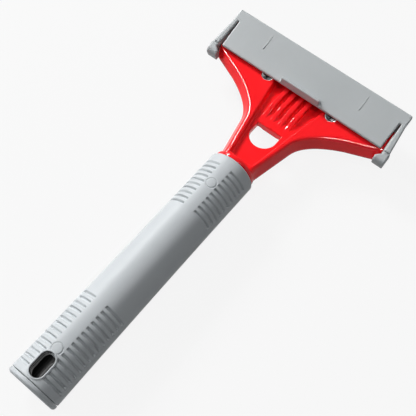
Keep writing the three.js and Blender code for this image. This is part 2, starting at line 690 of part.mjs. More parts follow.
function guardShell() {
  const corner = GUARD_CORNER_RADIUS;
  const half = [
    [ARM_ROOT_X, guardInside],
    [ARM_ROOT_X, guardHalfWidth],
    ...roundCorner(GUARD_FRONT_X - corner, guardHalfWidth - corner, corner, 90, 0, 3),
  ];
  const panelHalf = [[guardRearX, panelHalfWidth], ...half];
  const block = solid(upright(outline([...panelHalf, ...mirrored(panelHalf)]), guardBottom, GUARD_TOP));
  const ceiling = GUARD_TOP - GUARD_WALL;
  const floor = guardBottom + GUARD_WALL;
  const room = rectangle(guardRearX - OVERSHOOT, ARM_ROOT_X, -guardInside, guardInside);
  const endRoom = rectangle(guardRearX, GUARD_FRONT_X - GUARD_WALL, -guardEndInside, guardEndInside);
  const cavity = [room, endRoom].map((plan) => solid(upright(plan, floor, ceiling)));
  const lipSide = outline([
    [guardRearX, GUARD_TOP - SEAT_GAP],
    [guardRearX + GUARD_LIP_FOOT, GUARD_TOP - SEAT_GAP],
    [guardRearX + GUARD_LIP_LEAN + GUARD_LIP_LAND, GUARD_TOP + GUARD_LIP_HEIGHT],
    [guardRearX + GUARD_LIP_LEAN, GUARD_TOP + GUARD_LIP_HEIGHT],
  ]);
  const shell = cut(block, [...cavity, guardLean(1), guardLean(-1)]);
  return shell.add(solid(across(lipSide, GUARD_LIP_WIDTH)));
}

// A spring arm with the hook that catches behind a wing tip, left (side 1) or right (side -1)
function guardCatch(side) {
  const root = ARM_ROOT_X - SEAT_GAP;
  const noseX = hookRearX + HOOK_NOSE_LENGTH;
  const outer = armOuterRear + HOOK_STEP;
  const left = [
    [root, guardInside],
    [root, guardHalfWidth],
    [guardRearX, armOuterRear],
    [guardRearX, outer],
    ...roundCorner(hookRearX + HOOK_ROUND, outer - HOOK_ROUND, HOOK_ROUND, 90, 180, 3),
    [hookRearX, wingHalfWidth - HOOK_CATCH],
    [noseX, wingHalfWidth - HOOK_CATCH],
    [noseX + HOOK_NOSE_SLANT, armOuterRear - ARM_WALL],
  ];
  const bottom = GUARD_TOP - HOOK_HEIGHT;
  const body = solid(upright(outline(side > 0 ? left : mirrored(left)), bottom, GUARD_TOP));
  const strip = rectangle(guardRearX - HOOK_NOTCH_WIDTH, guardRearX, -reach, reach);
  const notch = upright(strip, GUARD_TOP - HOOK_NOTCH_DEPTH, GUARD_TOP + OVERSHOOT);
  const armStrip = rectangle(guardRearX, GUARD_FRONT_X, -reach, reach);
  const belowArm = upright(armStrip, bottom - OVERSHOOT, GUARD_TOP - ARM_HEIGHT);
  const crest = HOOK_CREST_RADIUS;
  const behindCrest = outline([
    [hookRearX + crest, GUARD_TOP + OVERSHOOT],
    ...roundCorner(hookRearX + crest, GUARD_TOP - crest, crest, 90, 180, 6),
    [hookRearX - OVERSHOOT, GUARD_TOP - crest],
    [hookRearX - OVERSHOOT, GUARD_TOP + OVERSHOOT],
  ]);
  return cut(body, [solid(notch), solid(belowArm), solid(across(behindCrest, 2 * reach))]);
}

// Finishes
const plastic = (color, roughness) => new THREE.MeshStandardMaterial({ color, roughness, metalness: 0 });
const metal = (color, roughness) => new THREE.MeshStandardMaterial({ color, roughness, metalness: 1 });
const redGloss = plastic(0xd81e22, 0.22);
const gripGrey = plastic(0xa9adaf, 0.55);
const guardGrey = plastic(0xa5aaab, 0.6);
const coreBlack = plastic(0x141414, 0.45);
const screwBlack = metal(0x1c1c1e, 0.4);
const zinc = metal(0xc4c6c8, 0.35);
const bladeSteel = metal(0xb8bbbe, 0.3);

// Assembly
const handle = new THREE.Group();
handle.add(
  piece('head_frame', headFrame(), redGloss),
  piece('grip_sleeve', gripSleeve(), gripGrey),
  piece('handle_core', handleCore(), coreBlack),
  piece('end_cap', endCap(), gripGrey.clone()),
  piece('grip_pin_front', gripPin(PIN_FRONT_OFFSET, pinFrontBottom), gripGrey.clone()),
  piece('grip_pin_rear', gripPin(PIN_REAR_OFFSET, pinRearBottom), gripGrey.clone()),
);

const bladeEnd = new THREE.Group();
bladeEnd.applyMatrix4(bladeFrame);
bladeEnd.add(
  piece('blade', blade(), bladeSteel),
  piece('clamp_jaw', lowerJaw(), redGloss.clone()),
  piece('guard_shell', guardShell(), guardGrey),
  piece('guard_catch_left', guardCatch(1), guardGrey.clone()),
  piece('guard_catch_right', guardCatch(-1), guardGrey.clone()),
);
[['left', screwSides[0]], ['right', screwSides[1]]].forEach(([side, y]) => bladeEnd.add(
  piece(`clamp_screw_${side}`, clampScrew(y), screwBlack.clone()),
  piece(`screw_washer_${side}`, washer(y), zinc.clone()),
  piece(`clamp_nut_${side}`, nut(y), zinc.clone()),
));

const scraper = new THREE.Group();
scraper.add(handle, bladeEnd);
scraper.updateMatrixWorld(true);
const extent = new THREE.Box3().setFromObject(scraper, true);
const middle = extent.getCenter(new THREE.Vector3());
scraper.position.set(-middle.x, -middle.y, -extent.min.z);

export default scraper;
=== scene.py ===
# %% [markdown]
# # A hand scraper with a red head, a grey blade guard and a grey grip
# The construction is already fixed: every piece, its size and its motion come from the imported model.
# This notebook dresses that model. It makes the smooth moulded surfaces with numpy, gives every piece a
# procedural finish, and sets up the photograph's camera and light.

# %% Load the construction
import json
import math

import bpy
import numpy as np
from mathutils import Matrix, Vector

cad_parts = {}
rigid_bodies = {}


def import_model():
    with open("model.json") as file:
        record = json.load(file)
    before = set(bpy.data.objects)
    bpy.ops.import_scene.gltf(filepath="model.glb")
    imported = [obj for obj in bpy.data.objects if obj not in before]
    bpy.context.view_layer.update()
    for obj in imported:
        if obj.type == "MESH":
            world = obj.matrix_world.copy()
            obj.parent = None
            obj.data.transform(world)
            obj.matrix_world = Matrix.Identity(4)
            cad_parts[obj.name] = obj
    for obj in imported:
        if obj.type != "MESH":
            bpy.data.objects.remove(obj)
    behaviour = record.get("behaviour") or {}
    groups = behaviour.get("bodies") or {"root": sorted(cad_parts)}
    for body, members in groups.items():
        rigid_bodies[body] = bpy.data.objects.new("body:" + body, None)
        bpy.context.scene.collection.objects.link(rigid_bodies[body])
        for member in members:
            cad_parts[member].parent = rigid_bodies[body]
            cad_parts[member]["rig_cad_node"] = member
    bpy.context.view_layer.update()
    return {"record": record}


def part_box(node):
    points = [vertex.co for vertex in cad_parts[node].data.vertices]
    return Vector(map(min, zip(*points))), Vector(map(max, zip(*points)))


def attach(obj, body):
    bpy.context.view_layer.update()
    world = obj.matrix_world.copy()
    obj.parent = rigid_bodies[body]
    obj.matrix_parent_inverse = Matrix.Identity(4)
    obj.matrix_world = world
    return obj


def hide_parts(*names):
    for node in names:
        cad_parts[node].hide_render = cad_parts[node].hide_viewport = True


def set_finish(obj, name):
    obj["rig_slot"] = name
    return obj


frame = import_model()
MM = 0.001

# %% [markdown]
# ## Two places to measure from
# The handle is easiest to describe from the middle of the grip's front face, and the blade end from the
# point where the head bends upwards. The first is read off the construction's boxes and the second is stated
# from it, so a piece described in either place lands where the construction has it. Lengths are in
# millimetres.

# %% Handle place and blade place
BEND_DEGREES = 17.4
BEND_FORWARD, HEAD_TOP = 58.0, 4.0
_, grip_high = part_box("grip_sleeve")
cap_low, cap_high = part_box("end_cap")
handle_place = np.array([grip_high.x, 0.0, (cap_low.z + cap_high.z) / 2]) / MM
bend_place = handle_place + np.array([BEND_FORWARD, 0.0, HEAD_TOP])
tilt = math.radians(BEND_DEGREES)
COS, SIN = math.cos(tilt), math.sin(tilt)


def from_handle(points):
    """Points given from the grip's front face, moved into the model's frame."""
    return points + handle_place


def from_bend(points):
    """Points (x, y, z) given along the blade, turned up by the bend: (x cos - z sin, y, x sin + z cos)."""
    x, y, z = np.moveaxis(np.asarray(points, float), -1, 0)
    return np.stack([x * COS - z * SIN, y, x * SIN + z * COS], axis=-1) + bend_place


def to_bend(x, z):
    """The blade-end coordinates of a point given from the grip's front face: from_bend's turn, undone."""
    ahead, up = x - BEND_FORWARD, z - HEAD_TOP
    return ahead * COS + up * SIN, up * COS - ahead * SIN


print("grip front face at", handle_place.round(2), "bend at", bend_place.round(2))

# %% [markdown]
# ## Putting arrays into meshes
# Each new piece is worked out as whole arrays: a grid of points, or a list of points and four-cornered faces.
# One helper hands the arrays to Blender, shades the skin smoothly, names its finish slot and lets it ride on
# the body that carries it.

# %% Mesh helpers
def make_piece(name, points, faces, body, slot, nodes=()):
    """A mesh object from points in millimetres and arrays of faces, one array for each number of corners."""
    corners = np.concatenate([array.ravel() for array in faces])
    sizes = np.concatenate([np.full(len(array), array.shape[1]) for array in faces])
    mesh = bpy.data.meshes.new(name)
    mesh.vertices.add(len(points))
    mesh.vertices.foreach_set("co", (np.asarray(points, np.float64) * MM).astype(np.float32).ravel())
    mesh.loops.add(len(corners))
    mesh.loops.foreach_set("vertex_index", corners.astype(np.int32))
    mesh.polygons.add(len(sizes))
    mesh.polygons.foreach_set("loop_start", (np.cumsum(sizes) - sizes).astype(np.int32))
    mesh.polygons.foreach_set("use_smooth", np.ones(len(sizes), bool))
    mesh.update(calc_edges=True)
    mesh.validate()
    piece = bpy.data.objects.new(name, mesh)
    bpy.context.scene.collection.objects.link(piece)
    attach(piece, body)
    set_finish(piece, slot)
    if nodes:
        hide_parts(*nodes)
    print(f"{name}: {len(points)} points, {len(sizes)} faces")


def grid_faces(rows, columns, close_rows=False, close_columns=False):
    """Faces of a grid of rows by columns of points, wrapped round where a direction closes on itself."""
    i = np.arange(rows if close_rows else rows - 1)[:, None]
    j = np.arange(columns if close_columns else columns - 1)[None, :]
    i2, j2 = (i + 1) % rows, (j + 1) % columns
    corners = [i * columns + j, i2 * columns + j, i2 * columns + j2, i * columns + j2]
    return np.stack(np.broadcast_arrays(*corners), axis=-1).reshape(-1, 4)


def polar_faces(rings, around):
    """Faces of closed rings with a fan at each end, to two poles numbered after the rings' points."""
    j = np.arange(around)
    j2 = (j + 1) % around
    last = (rings - 1) * around
    first_pole, last_pole = np.full(around, rings * around), np.full(around, rings * around + 1)
    fans = np.vstack([np.stack([first_pole, j, j2], 1), np.stack([last + j, last_pole, last + j2], 1)])
    return [grid_faces(rings, around, close_columns=True), fans]


def smooth_step(low, high, value):
    """0 below low, 1 above high, and the cubic 3t2 - 2t3 between."""
    t = np.clip((value - low) / (high - low), 0, 1)
    return t * t * (3 - 2 * t)


def mirrored(half):
    """A closed outline from its left half and the mirror image of it."""
    half = np.array(half)
    return np.vstack([half, half[::-1] * [1, -1]])


print("a grid of 3 by 4 points has", len(grid_faces(3, 4)), "faces")

# %% [markdown]
# ## Skins of moulded solids
# The head and the guard have holes, ribs and pockets that run into each other with small fillets, as a
# moulding does. No single sheet with two parameters can follow that, so they are described as a depth field:
# a number that is negative inside the plastic and positive outside. Fields are joined and cut by least and
# greatest values, and rounding those gives the fillets. The skin is found on a grid of cells: each cell that
# the surface crosses gets one point, and each grid edge that it crosses gets one face.

# %% Field helpers
def rounded_max(a, b, radius):
    """Common part of two solids, with a quarter circle of that radius along their shared edge."""
    u, v = np.maximum(a + radius, 0), np.maximum(b + radius, 0)
    return np.minimum(np.maximum(a, b), -radius) + np.hypot(u, v)


def rounded_min(a, b, radius):
    """Two solids joined, with a fillet of that radius where they meet."""
    return -rounded_max(-a, -b, radius)


def outline_depth(outline, x, y):
    """Distance to a closed outline, negative inside: least distance to its edges, signed by crossings."""
    x, y = np.broadcast_arrays(x, y)
    squared = np.full(np.shape(x), np.inf)
    inside = np.zeros(np.shape(x), bool)
    for (ax, ay), (bx, by) in zip(outline, np.roll(outline, -1, axis=0)):
        ex, ey = bx - ax, by - ay
        t = np.clip(((x - ax) * ex + (y - ay) * ey) / (ex * ex + ey * ey), 0, 1)
        squared = np.minimum(squared, (x - ax - t * ex) ** 2 + (y - ay - t * ey) ** 2)
        if ey != 0:
            inside ^= ((y < ay) != (y < by)) & (x < ax + (y - ay) * ex / ey)
    return np.where(inside, -1, 1) * np.sqrt(squared)


def slab(value, low, high):
    """Depth of the layer between two levels."""
    return np.maximum(low - value, value - high)


square = np.array([[-1, -1], [1, -1], [1, 1], [-1, 1]])
square_depth = outline_depth(square, np.array(0.0), np.array(0.0))
print("depth in the middle of a square of side 2:", float(square_depth))

# %% Points moved along a skin
PROBE_PARTS, LEAST_SLOPE = 20, 0.2


def evened(points, faces):
    """Each point moved half way to the mean of its neighbours along the edges of the faces."""
    start, end = faces.ravel(), np.roll(faces, -1, axis=1).ravel()
    total = np.stack([np.bincount(start, points[end, k], len(points)) for k in range(3)], axis=1)
    return (points + total / np.bincount(start, minlength=len(points))[:, None]) / 2


def slid(points, field, cell):
    """Points moved along the field's slope towards zero: p - depth slope / slope2, by half a cell at most."""
    step = cell / PROBE_PARTS
    x, y, z = points.T
    depth = field(x, y, z)
    probes = [field(x + step, y, z), field(x, y + step, z), field(x, y, z + step)]
    slope = (np.stack(probes, axis=1) - depth[:, None]) / step
    shift = depth[:, None] * slope / np.maximum((slope ** 2).sum(axis=1), LEAST_SLOPE)[:, None]
    return points - np.clip(shift, -cell / 2, cell / 2)


print("slopes are probed over 1 /", PROBE_PARTS, "of a cell")

# %% Skin of a field
SLIDES = 4
CELLS_ROUND_EDGE = ((0, 0), (0, 1), (1, 0), (1, 1))
FACE_TURN = ((1, 1), (0, 1), (0, 0), (1, 0))


def edge_crossings(value, axis):
    """For the grid edges along one axis: which cross the skin, how far along, and which start inside."""
    first = np.moveaxis(value, axis, 0)
    a, b = np.moveaxis(first[:-1], 0, axis), np.moveaxis(first[1:], 0, axis)
    crossed = (a < 0) != (b < 0)
    return crossed, np.where(crossed, a / np.where(crossed, a - b, 1), 0), a < 0


def field_skin(field, low, high, cell):
    """Points and faces of the skin where a field is zero, on cubic cells.
    A cell's point is the mean of the crossings on its edges. Then the points are evened out and slid along
    the field's slope back to zero, in turn, so that an edge at a slant to the cells runs straight."""
    axes = [np.arange(a - cell, b + 2 * cell, cell) for a, b in zip(low, high)]
    grid = np.meshgrid(*axes, indexing="ij", sparse=True)
    value = field(*grid)
    shape = np.array(value.shape)
    total, count = np.zeros((*(shape - 1), 3)), np.zeros(shape - 1)
    edges = []
    for axis in range(3):
        crossed, share, starts_inside = edge_crossings(value, axis)
        starts = [np.take(g, range(g.shape[k] - 1), k) if k == axis else g for k, g in enumerate(grid)]
        at = [np.broadcast_to(g, crossed.shape) for g in starts]
        at[axis] = at[axis] + share * cell
        where = np.stack(at, axis=-1) * crossed[..., None]
        others = [k for k in range(3) if k != axis]
        for offset in CELLS_ROUND_EDGE:
            take = [slice(None)] * 3
            for k, s in zip(others, offset):
                take[k] = slice(s, shape[k] - 1 + s)
            total += where[tuple(take)]
            count += crossed[tuple(take)]
        edges.append((crossed, starts_inside, others))
    number = np.cumsum(count.ravel() > 0).reshape(count.shape) - 1
    points = total[count > 0] / count[count > 0][:, None]
    unit = np.eye(3, dtype=int)
    faces = []
    for axis, (crossed, starts_inside, others) in enumerate(edges):
        at = np.argwhere(crossed)
        at = at[((at[:, others] > 0) & (at[:, others] < shape[others] - 1)).all(axis=1)]
        u, v = unit[(axis + 1) % 3], unit[(axis + 2) % 3]
        quad = np.stack([number[tuple((at - du * u - dv * v).T)] for du, dv in FACE_TURN], axis=1)
        inward = ~starts_inside[tuple(at.T)]
        quad[inward] = quad[inward][:, ::-1]
        faces.append(quad)
    faces = np.concatenate(faces)
    for _ in range(SLIDES):
        points = slid(evened(points, faces), field, cell)
    return points, faces


ball_points, _ = field_skin(lambda x, y, z: np.hypot(np.hypot(x, y), z) - 1, (-1, -1, -1), (1, 1, 1), 0.2)
print("a trial ball of radius 1 is skinned to", np.linalg.norm(ball_points, axis=1).mean().round(3))

# %% [markdown]
# ## Head
# The red head is one moulding: a round collar against the grip, a neck that flares into two wings, a sunken
# pocket with four ribs and a D-shaped hole, and the upper jaw that presses on the blade. It could be carved
# from a block with boolean cuts, but those leave knife edges. So every form is a small field, joined or cut
# in the order a toolmaker would think of them, and each edge gets its own rounding.

# %% Head outline, plate, spine and collar
HEAD_REAR, HEAD_DEPTH = 0.3, 7.0
NECK_HALF, FLARE_AT, FLARE_HALF, FLARE_STEPS = 10.2, 28.0, 16.2, 14
WING_BEND = np.array([38.4, 18.4])
WING_STRAIGHT = np.array([47.7, 37.0])
WING_TIP = np.array([54.5, 53.0])
WING_RUN_ON, PLATE_RUN_ON = 0.25, 12
LEAN_RUN, LEAN_DROP = 2.6, 5.5
EDGE_ROUND, UNDER_ROUND, TIP_ROUND = 1.3, 0.5, 0.4
SPINE_REACH, SPINE_TIP_RADIUS, SPINE_SCALE = 48.0, 4.4, 0.97
KEEL_REACH, KEEL_ROUND = 31.0, 1.0
COLLAR_RADIUS, COLLAR_LENGTH, COLLAR_ROUND = 11.8, 2.4, 0.7
head_bottom = HEAD_TOP - HEAD_DEPTH
lean_cosine = LEAN_DROP / math.hypot(LEAN_DROP, LEAN_RUN)


def head_outline():
    """Half outline: straight neck, then the curve (1-t)2 A + 2t(1-t) B + t2 C into the wing, then mirrored.
    The wing runs on past its tip, where the plate is cut upright."""
    t = np.linspace(0, 1, FLARE_STEPS)[:, None]
    start = np.array([FLARE_AT, FLARE_HALF])
    sweep = (1 - t) ** 2 * start + 2 * t * (1 - t) * WING_BEND + t ** 2 * WING_STRAIGHT
    past = WING_TIP + (WING_TIP - WING_STRAIGHT) * WING_RUN_ON
    return mirrored(np.vstack([[HEAD_REAR, NECK_HALF], sweep, past, [BEND_FORWARD + PLATE_RUN_ON, past[1]]]))


def plate_field(x, y, z):
    """The flat fan: its outline draws in by LEAN_RUN over the top LEAN_DROP of its height."""
    lean = LEAN_RUN * np.clip((z - HEAD_TOP + LEAN_DROP) / LEAN_DROP, 0, 1)
    side = (outline_depth(head_outline(), x, y) + lean) * lean_cosine
    fan = rounded_max(rounded_max(side, z - HEAD_TOP, EDGE_ROUND), head_bottom - z, UNDER_ROUND)
    return rounded_max(fan, np.abs(y) - WING_TIP[1], TIP_ROUND)


def spine_field(x, y, z):
    """The round spine under the neck: a cone r = r0 + (r1 - r0) x / reach, cut level with the head's top.
    The scale keeps the cone's slope under 1. Its keel rises in a straight line to the plate's underside."""
    share = np.clip((x - HEAD_REAR) / SPINE_REACH, 0, 1)
    radius = NECK_HALF + (SPINE_TIP_RADIUS - NECK_HALF) * share
    axis_up = (head_bottom + SPINE_TIP_RADIUS) * share
    cone = np.maximum(np.hypot(y, z - axis_up) - radius, slab(x, HEAD_REAR, SPINE_REACH)) * SPINE_SCALE
    keel = (head_bottom + NECK_HALF) * np.clip(x / KEEL_REACH, 0, 1) - NECK_HALF
    return rounded_max(rounded_max(cone, keel - z, KEEL_ROUND), z - HEAD_TOP, EDGE_ROUND)


def collar_field(x, y, z):
    """The round collar: a disc with its edges rounded."""
    disc = slab(x, HEAD_REAR, HEAD_REAR + COLLAR_LENGTH)
    return rounded_max(np.hypot(y, z) - COLLAR_RADIUS, disc, COLLAR_ROUND)


print("head outline has", len(head_outline()), "corners")

# %% Head pocket, ribs and D-hole
POCKET_REAR, POCKET_REAR_HALF = 6.9, 7.1
POCKET_FRONT, POCKET_FRONT_HALF = 60.0, 16.4
POCKET_DEPTH, POCKET_FRONT_DEPTH, POCKET_SLOPE_AT, POCKET_DRAFT = 2.6, 3.6, 35.0, 1.0
POCKET_CORNER, POCKET_FILLET = 0.8, 0.6
RIBS, RIB_SPACING, RIB_HALF, RIB_ROUND = 4, 4.8, 1.35, 0.5
RIB_REAR, RIB_TAIL, RIB_RISE, RIB_EASE, RIB_DROP = 36.0, 1.0, 9.0, 0.9, 0.3
D_FRONT, D_REAR, D_RADIUS, D_CORNER = 32.0, 19.2, 7.5, 0.6


def pocket_floor(x):
    """Height of the pocket's floor: level, then falling towards the guard."""
    share = np.clip((x - POCKET_SLOPE_AT) / (POCKET_FRONT - POCKET_SLOPE_AT), 0, 1)
    return HEAD_TOP - POCKET_DEPTH - (POCKET_FRONT_DEPTH - POCKET_DEPTH) * share


def pocket_field(x, y, z):
    """The tapered pocket: its half width grows along x, and its walls open upwards by the draft."""
    share = (x - POCKET_REAR) / (POCKET_FRONT - POCKET_REAR)
    half = POCKET_REAR_HALF + (POCKET_FRONT_HALF - POCKET_REAR_HALF) * share
    draft = POCKET_DRAFT * (HEAD_TOP - z) / POCKET_FRONT_DEPTH
    walls = rounded_max(np.abs(y) - half + draft, POCKET_REAR + draft - x, POCKET_CORNER)
    return rounded_max(walls, pocket_floor(x) - z, POCKET_FILLET)


def rib_field(x, y, z):
    """The ribs: the distance to the nearest rib line, under a crest that rises out of the floor."""
    outermost = (RIBS - 1) / 2
    line = np.clip(np.round(y / RIB_SPACING - 0.5) + 0.5, -outermost, outermost) * RIB_SPACING
    rise = smooth_step(0, 1, (x - RIB_REAR) / RIB_RISE * RIB_EASE)
    crest = (HEAD_TOP - POCKET_DEPTH) * (1 - rise) + (HEAD_TOP - RIB_DROP) * rise
    walls = np.maximum(np.abs(y - line) - RIB_HALF, RIB_REAR - RIB_TAIL - x)
    return rounded_max(walls, z - crest, RIB_ROUND)


def d_hole_field(x, y):
    """The D-shaped hole: a half disc behind, a straight wall in front."""
    middle = D_REAR + D_RADIUS
    round_end = np.hypot(np.minimum(x - middle, 0), y) - D_RADIUS
    return rounded_max(round_end, x - D_FRONT, D_CORNER)


print("pocket floor at the guard:", round(float(pocket_floor(POCKET_FRONT)), 2))

# %% Head jaw and screw seats
JAW_REAR, JAW_FRONT, JAW_SLOPE_AT, JAW_THICK, JAW_NOSE = -0.2, 12.0, 4.5, 4.6, 1.6
JAW_NOSE_TAPER, JAW_ROUND, JAW_END_ROUND = 0.8, 0.4, 0.5
CHEEK_TOP, CHEEK_DEPTH, CHEEK_FRONT = -1.0, 9.0, 10.0
BLADE_HALF, BLADE_PLAY = 50.0, 0.3
ROOM_REAR, ROOM_CORNER_FROM, ROOM_CORNER_WIDE, ROOM_CORNER_LONG = -5.1, 40.7, 9.6, 5.9
SCREW_AT, SCREW_SIDE, SCREW_HOLE = 0.0, 20.8, 2.3
SEAT_RADIUS, SEAT_FLOOR, SEAT_FILLET = 3.65, -2.9, 0.2


def jaw_field(x, y, z):
    """The upper jaw ahead of the bend, thinning to its nose, with a cheek at each end of the blade."""
    bx, bz = to_bend(x, z)
    half = WING_TIP[1] - JAW_NOSE_TAPER * np.clip(bx / JAW_FRONT, 0, 1)
    top = bz + (JAW_THICK - JAW_NOSE) * np.clip((bx - JAW_SLOPE_AT) / (JAW_FRONT - JAW_SLOPE_AT), 0, 1)
    bar = rounded_max(np.maximum(top, -JAW_THICK - bz), slab(bx, JAW_REAR, JAW_FRONT), JAW_ROUND)
    ends = np.maximum(slab(bx, JAW_REAR, CHEEK_FRONT), slab(bz, -CHEEK_DEPTH, CHEEK_TOP))
    cheek = np.maximum(ends, BLADE_HALF + BLADE_PLAY - np.abs(y))
    return rounded_max(np.minimum(bar, cheek), np.abs(y) - half, JAW_END_ROUND)


def jaw_room_field(x, y, z):
    """The room under the jaw for the blade and the lower jaw, with its rear corners cut off."""
    bx, bz = to_bend(x, z)
    corner = np.clip((np.abs(y) - ROOM_CORNER_FROM) / ROOM_CORNER_WIDE, 0, 1) * ROOM_CORNER_LONG
    walls = np.maximum(ROOM_REAR + corner - bx, np.abs(y) - BLADE_HALF - BLADE_PLAY)
    return np.maximum(walls, bz + JAW_THICK)


def screw_seat_field(x, y, z):
    """Both screw seats: a flat-bottomed round recess over a clearance hole, along the blade's normal."""
    bx, bz = to_bend(x, z)
    out = np.hypot(bx - SCREW_AT, np.abs(y) - SCREW_SIDE)
    return np.minimum(rounded_max(out - SEAT_RADIUS, SEAT_FLOOR - bz, SEAT_FILLET), out - SCREW_HOLE)


print("screw seats", 2 * SCREW_SIDE, "mm apart")

# %% Head skin
BEND_CREASE, SPINE_FILLET, JAW_FILLET, RIM_ROUND = 0.05, 1.5, 0.3, 0.5
RIB_FRONT, RIB_FOOT, RIB_FILLET, SEAT_RIM = 2.2, 4.2, 0.15, 0.3
HEAD_CELL, HEAD_LOW, HEAD_HIGH = 0.4, (0, -53.5, -12.5), (72, 53.5, 12.5)


def head_field(x, y, z):
    """The whole head: joined forms, less the pocket, plus the ribs, less the holes and the blade's room."""
    bx, _ = to_bend(x, z)
    body = rounded_max(plate_field(x, y, z), bx, BEND_CREASE)
    body = rounded_min(body, spine_field(x, y, z), SPINE_FILLET)
    body = rounded_min(body, jaw_field(x, y, z), JAW_FILLET)
    body = rounded_max(body, -pocket_field(x, y, z), RIM_ROUND)
    ribs = np.maximum(rib_field(x, y, z), np.maximum(bx - RIB_FRONT, HEAD_TOP - RIB_FOOT - z))
    body = rounded_min(body, ribs, RIB_FILLET)
    body = rounded_min(body, collar_field(x, y, z), RIM_ROUND)
    body = rounded_max(body, -d_hole_field(x, y), RIM_ROUND)
    body = np.maximum(body, -jaw_room_field(x, y, z))
    return rounded_max(body, -screw_seat_field(x, y, z), SEAT_RIM)


head_points, head_faces = field_skin(head_field, HEAD_LOW, HEAD_HIGH, HEAD_CELL)
make_piece("head_moulding", from_handle(head_points), [head_faces], "handle", "head_red", ["head_frame"])

# %% [markdown]
# ## Tang and end cap
# The tang that holds the head in the grip and the cap at the grip's end are turned shapes: a profile of
# radius and length carried round an axis. A point at angle a on a profile of radius r is
# (s, r sin a, r cos a), with s measured along the axis. A cylinder with bevels would do too, but a profile
# shows every round at once.

# %% Turned helpers
def turned(profile, around):
    """A profile of [distance along +x, radius] carried round the x axis, with a pole at each end of it."""
    angle = np.linspace(0, 2 * np.pi, around, endpoint=False)
    s, r = np.asarray(profile, float).T[:, :, None]
    rings = np.stack(np.broadcast_arrays(s, r * np.sin(angle), r * np.cos(angle)), axis=-1)
    poles = [[s[0, 0], 0, 0], [s[-1, 0], 0, 0]]
    return np.vstack([rings.reshape(-1, 3), poles]), polar_faces(len(s), around)


def arc(cx, cy, radius, start, end, steps):
    """Points (cx + r cos a, cy + r sin a) on a round corner, for a from start to end in degrees."""
    a = np.radians(np.linspace(start, end, steps))
    return np.stack([cx + radius * np.cos(a), cy + radius * np.sin(a)], axis=1)


print("a quarter round ends at", arc(0, 0, 1, 0, 90, 5)[-1].round(3))

# %% Tang and end cap
TANG_RADIUS, TANG_LENGTH, TANG_FRONT, TANG_CHAMFER, TANG_STEPS = 7.4, 55.0, 0.4, 1.5, 48
tang_profile = [[-TANG_LENGTH, TANG_RADIUS - TANG_CHAMFER], [TANG_CHAMFER - TANG_LENGTH, TANG_RADIUS],
                [TANG_FRONT, TANG_RADIUS]]
tang_points, tang_faces = turned(tang_profile, TANG_STEPS)
make_piece("head_tang", from_handle(tang_points), tang_faces, "handle", "head_red")

CAP_RADIUS, CAP_FRONT, CAP_REAR, CAP_STEPS = 13.3, -138.6, -141.1, 128
CAP_ROUND, CAP_FRONT_ROUND, CAP_FACE_RING = 1.6, 0.4, 6.0
CAP_RECESS_RADIUS, CAP_RECESS_DEPTH = 9.3, 0.9
cap_profile = np.vstack([
    [CAP_REAR, CAP_FACE_RING],
    arc(CAP_REAR + CAP_ROUND, CAP_RADIUS - CAP_ROUND, CAP_ROUND, 180, 90, 10),
    arc(CAP_FRONT - CAP_FRONT_ROUND, CAP_RADIUS - CAP_FRONT_ROUND, CAP_FRONT_ROUND, 90, 0, 5),
    [CAP_FRONT, CAP_RECESS_RADIUS],
    [CAP_FRONT - CAP_RECESS_DEPTH, CAP_RECESS_RADIUS],
])
cap_points, cap_faces = turned(cap_profile, CAP_STEPS)
make_piece("end_cap_turned", from_handle(cap_points), cap_faces, "handle", "grip_grey", ["end_cap"])

# %% [markdown]
# ## Grip
# The grip is a tube whose radius is a function of place and angle: a slow swell towards the rear, less the
# finger grooves and a hair-thin ring round each pin. Cutting each groove by itself would take 48 cuts, while
# one formula gives them all. The same function places everything that lies on the grip, such as the pins and
# the hanging slot's rim, so nothing floats or sinks.

# %% Grip surface
GRIP_LENGTH, GRIP_FRONT, GRIP_MIDDLE, GRIP_REAR = 138.4, 12.9, 12.8, 13.3
GROOVE_PITCH, GROOVE_WIDTH, GROOVE_DEPTH = 3.02, 1.2, 1.3
GROOVE_FLAT, GROOVE_OPEN = 0.34, 0.58
GROOVE_FROM, GROOVE_TO, GROOVE_END = 16.0, 72.0, 1.6
FRONT_GROOVES, REAR_GROOVES, FRONT_GROOVE_AT, REAR_GROOVE_MARGIN = 10, 14, 6.8, 4.3
rear_groove_at = GRIP_LENGTH - REAR_GROOVE_MARGIN - (REAR_GROOVES - 1) * GROOVE_PITCH
PIN_PLACES, PIN_RADIUS = (17.4, 121.6), 2.5
RING_GAP, RING_DEPTH, RING_FLAT, RING_OPEN = 0.1, 0.35, 0.1, 0.34
SLOT_MIDDLE, SLOT_LENGTH, SLOT_WIDTH = 130.5, 12.6, 7.2


def grip_radius(back):
    """Outer radius at a distance behind the front face: the parabola through the three measured radii."""
    t = back / GRIP_LENGTH
    return GRIP_FRONT * (1 - t) * (1 - 2 * t) + 4 * GRIP_MIDDLE * t * (1 - t) + GRIP_REAR * t * (2 * t - 1)


def groove_depth(back, degrees):
    """Depth of the finger grooves: a flat-bottomed notch at each pitch, within the row and its angles."""
    depth = np.zeros(np.broadcast(back, degrees).shape)
    side = np.abs(degrees)
    upper = smooth_step(GROOVE_FROM - GROOVE_END, GROOVE_FROM + GROOVE_END, side)
    lower = smooth_step(-GROOVE_TO - GROOVE_END, GROOVE_END - GROOVE_TO, -side)
    for start, number in ((FRONT_GROOVE_AT, FRONT_GROOVES), (rear_groove_at, REAR_GROOVES)):
        nearest = start + np.clip(np.round((back - start) / GROOVE_PITCH), 0, number - 1) * GROOVE_PITCH
        notch = 1 - smooth_step(GROOVE_FLAT, GROOVE_OPEN, np.abs(back - nearest) / GROOVE_WIDTH)
        depth = depth + GROOVE_DEPTH * notch * upper * lower
    return depth


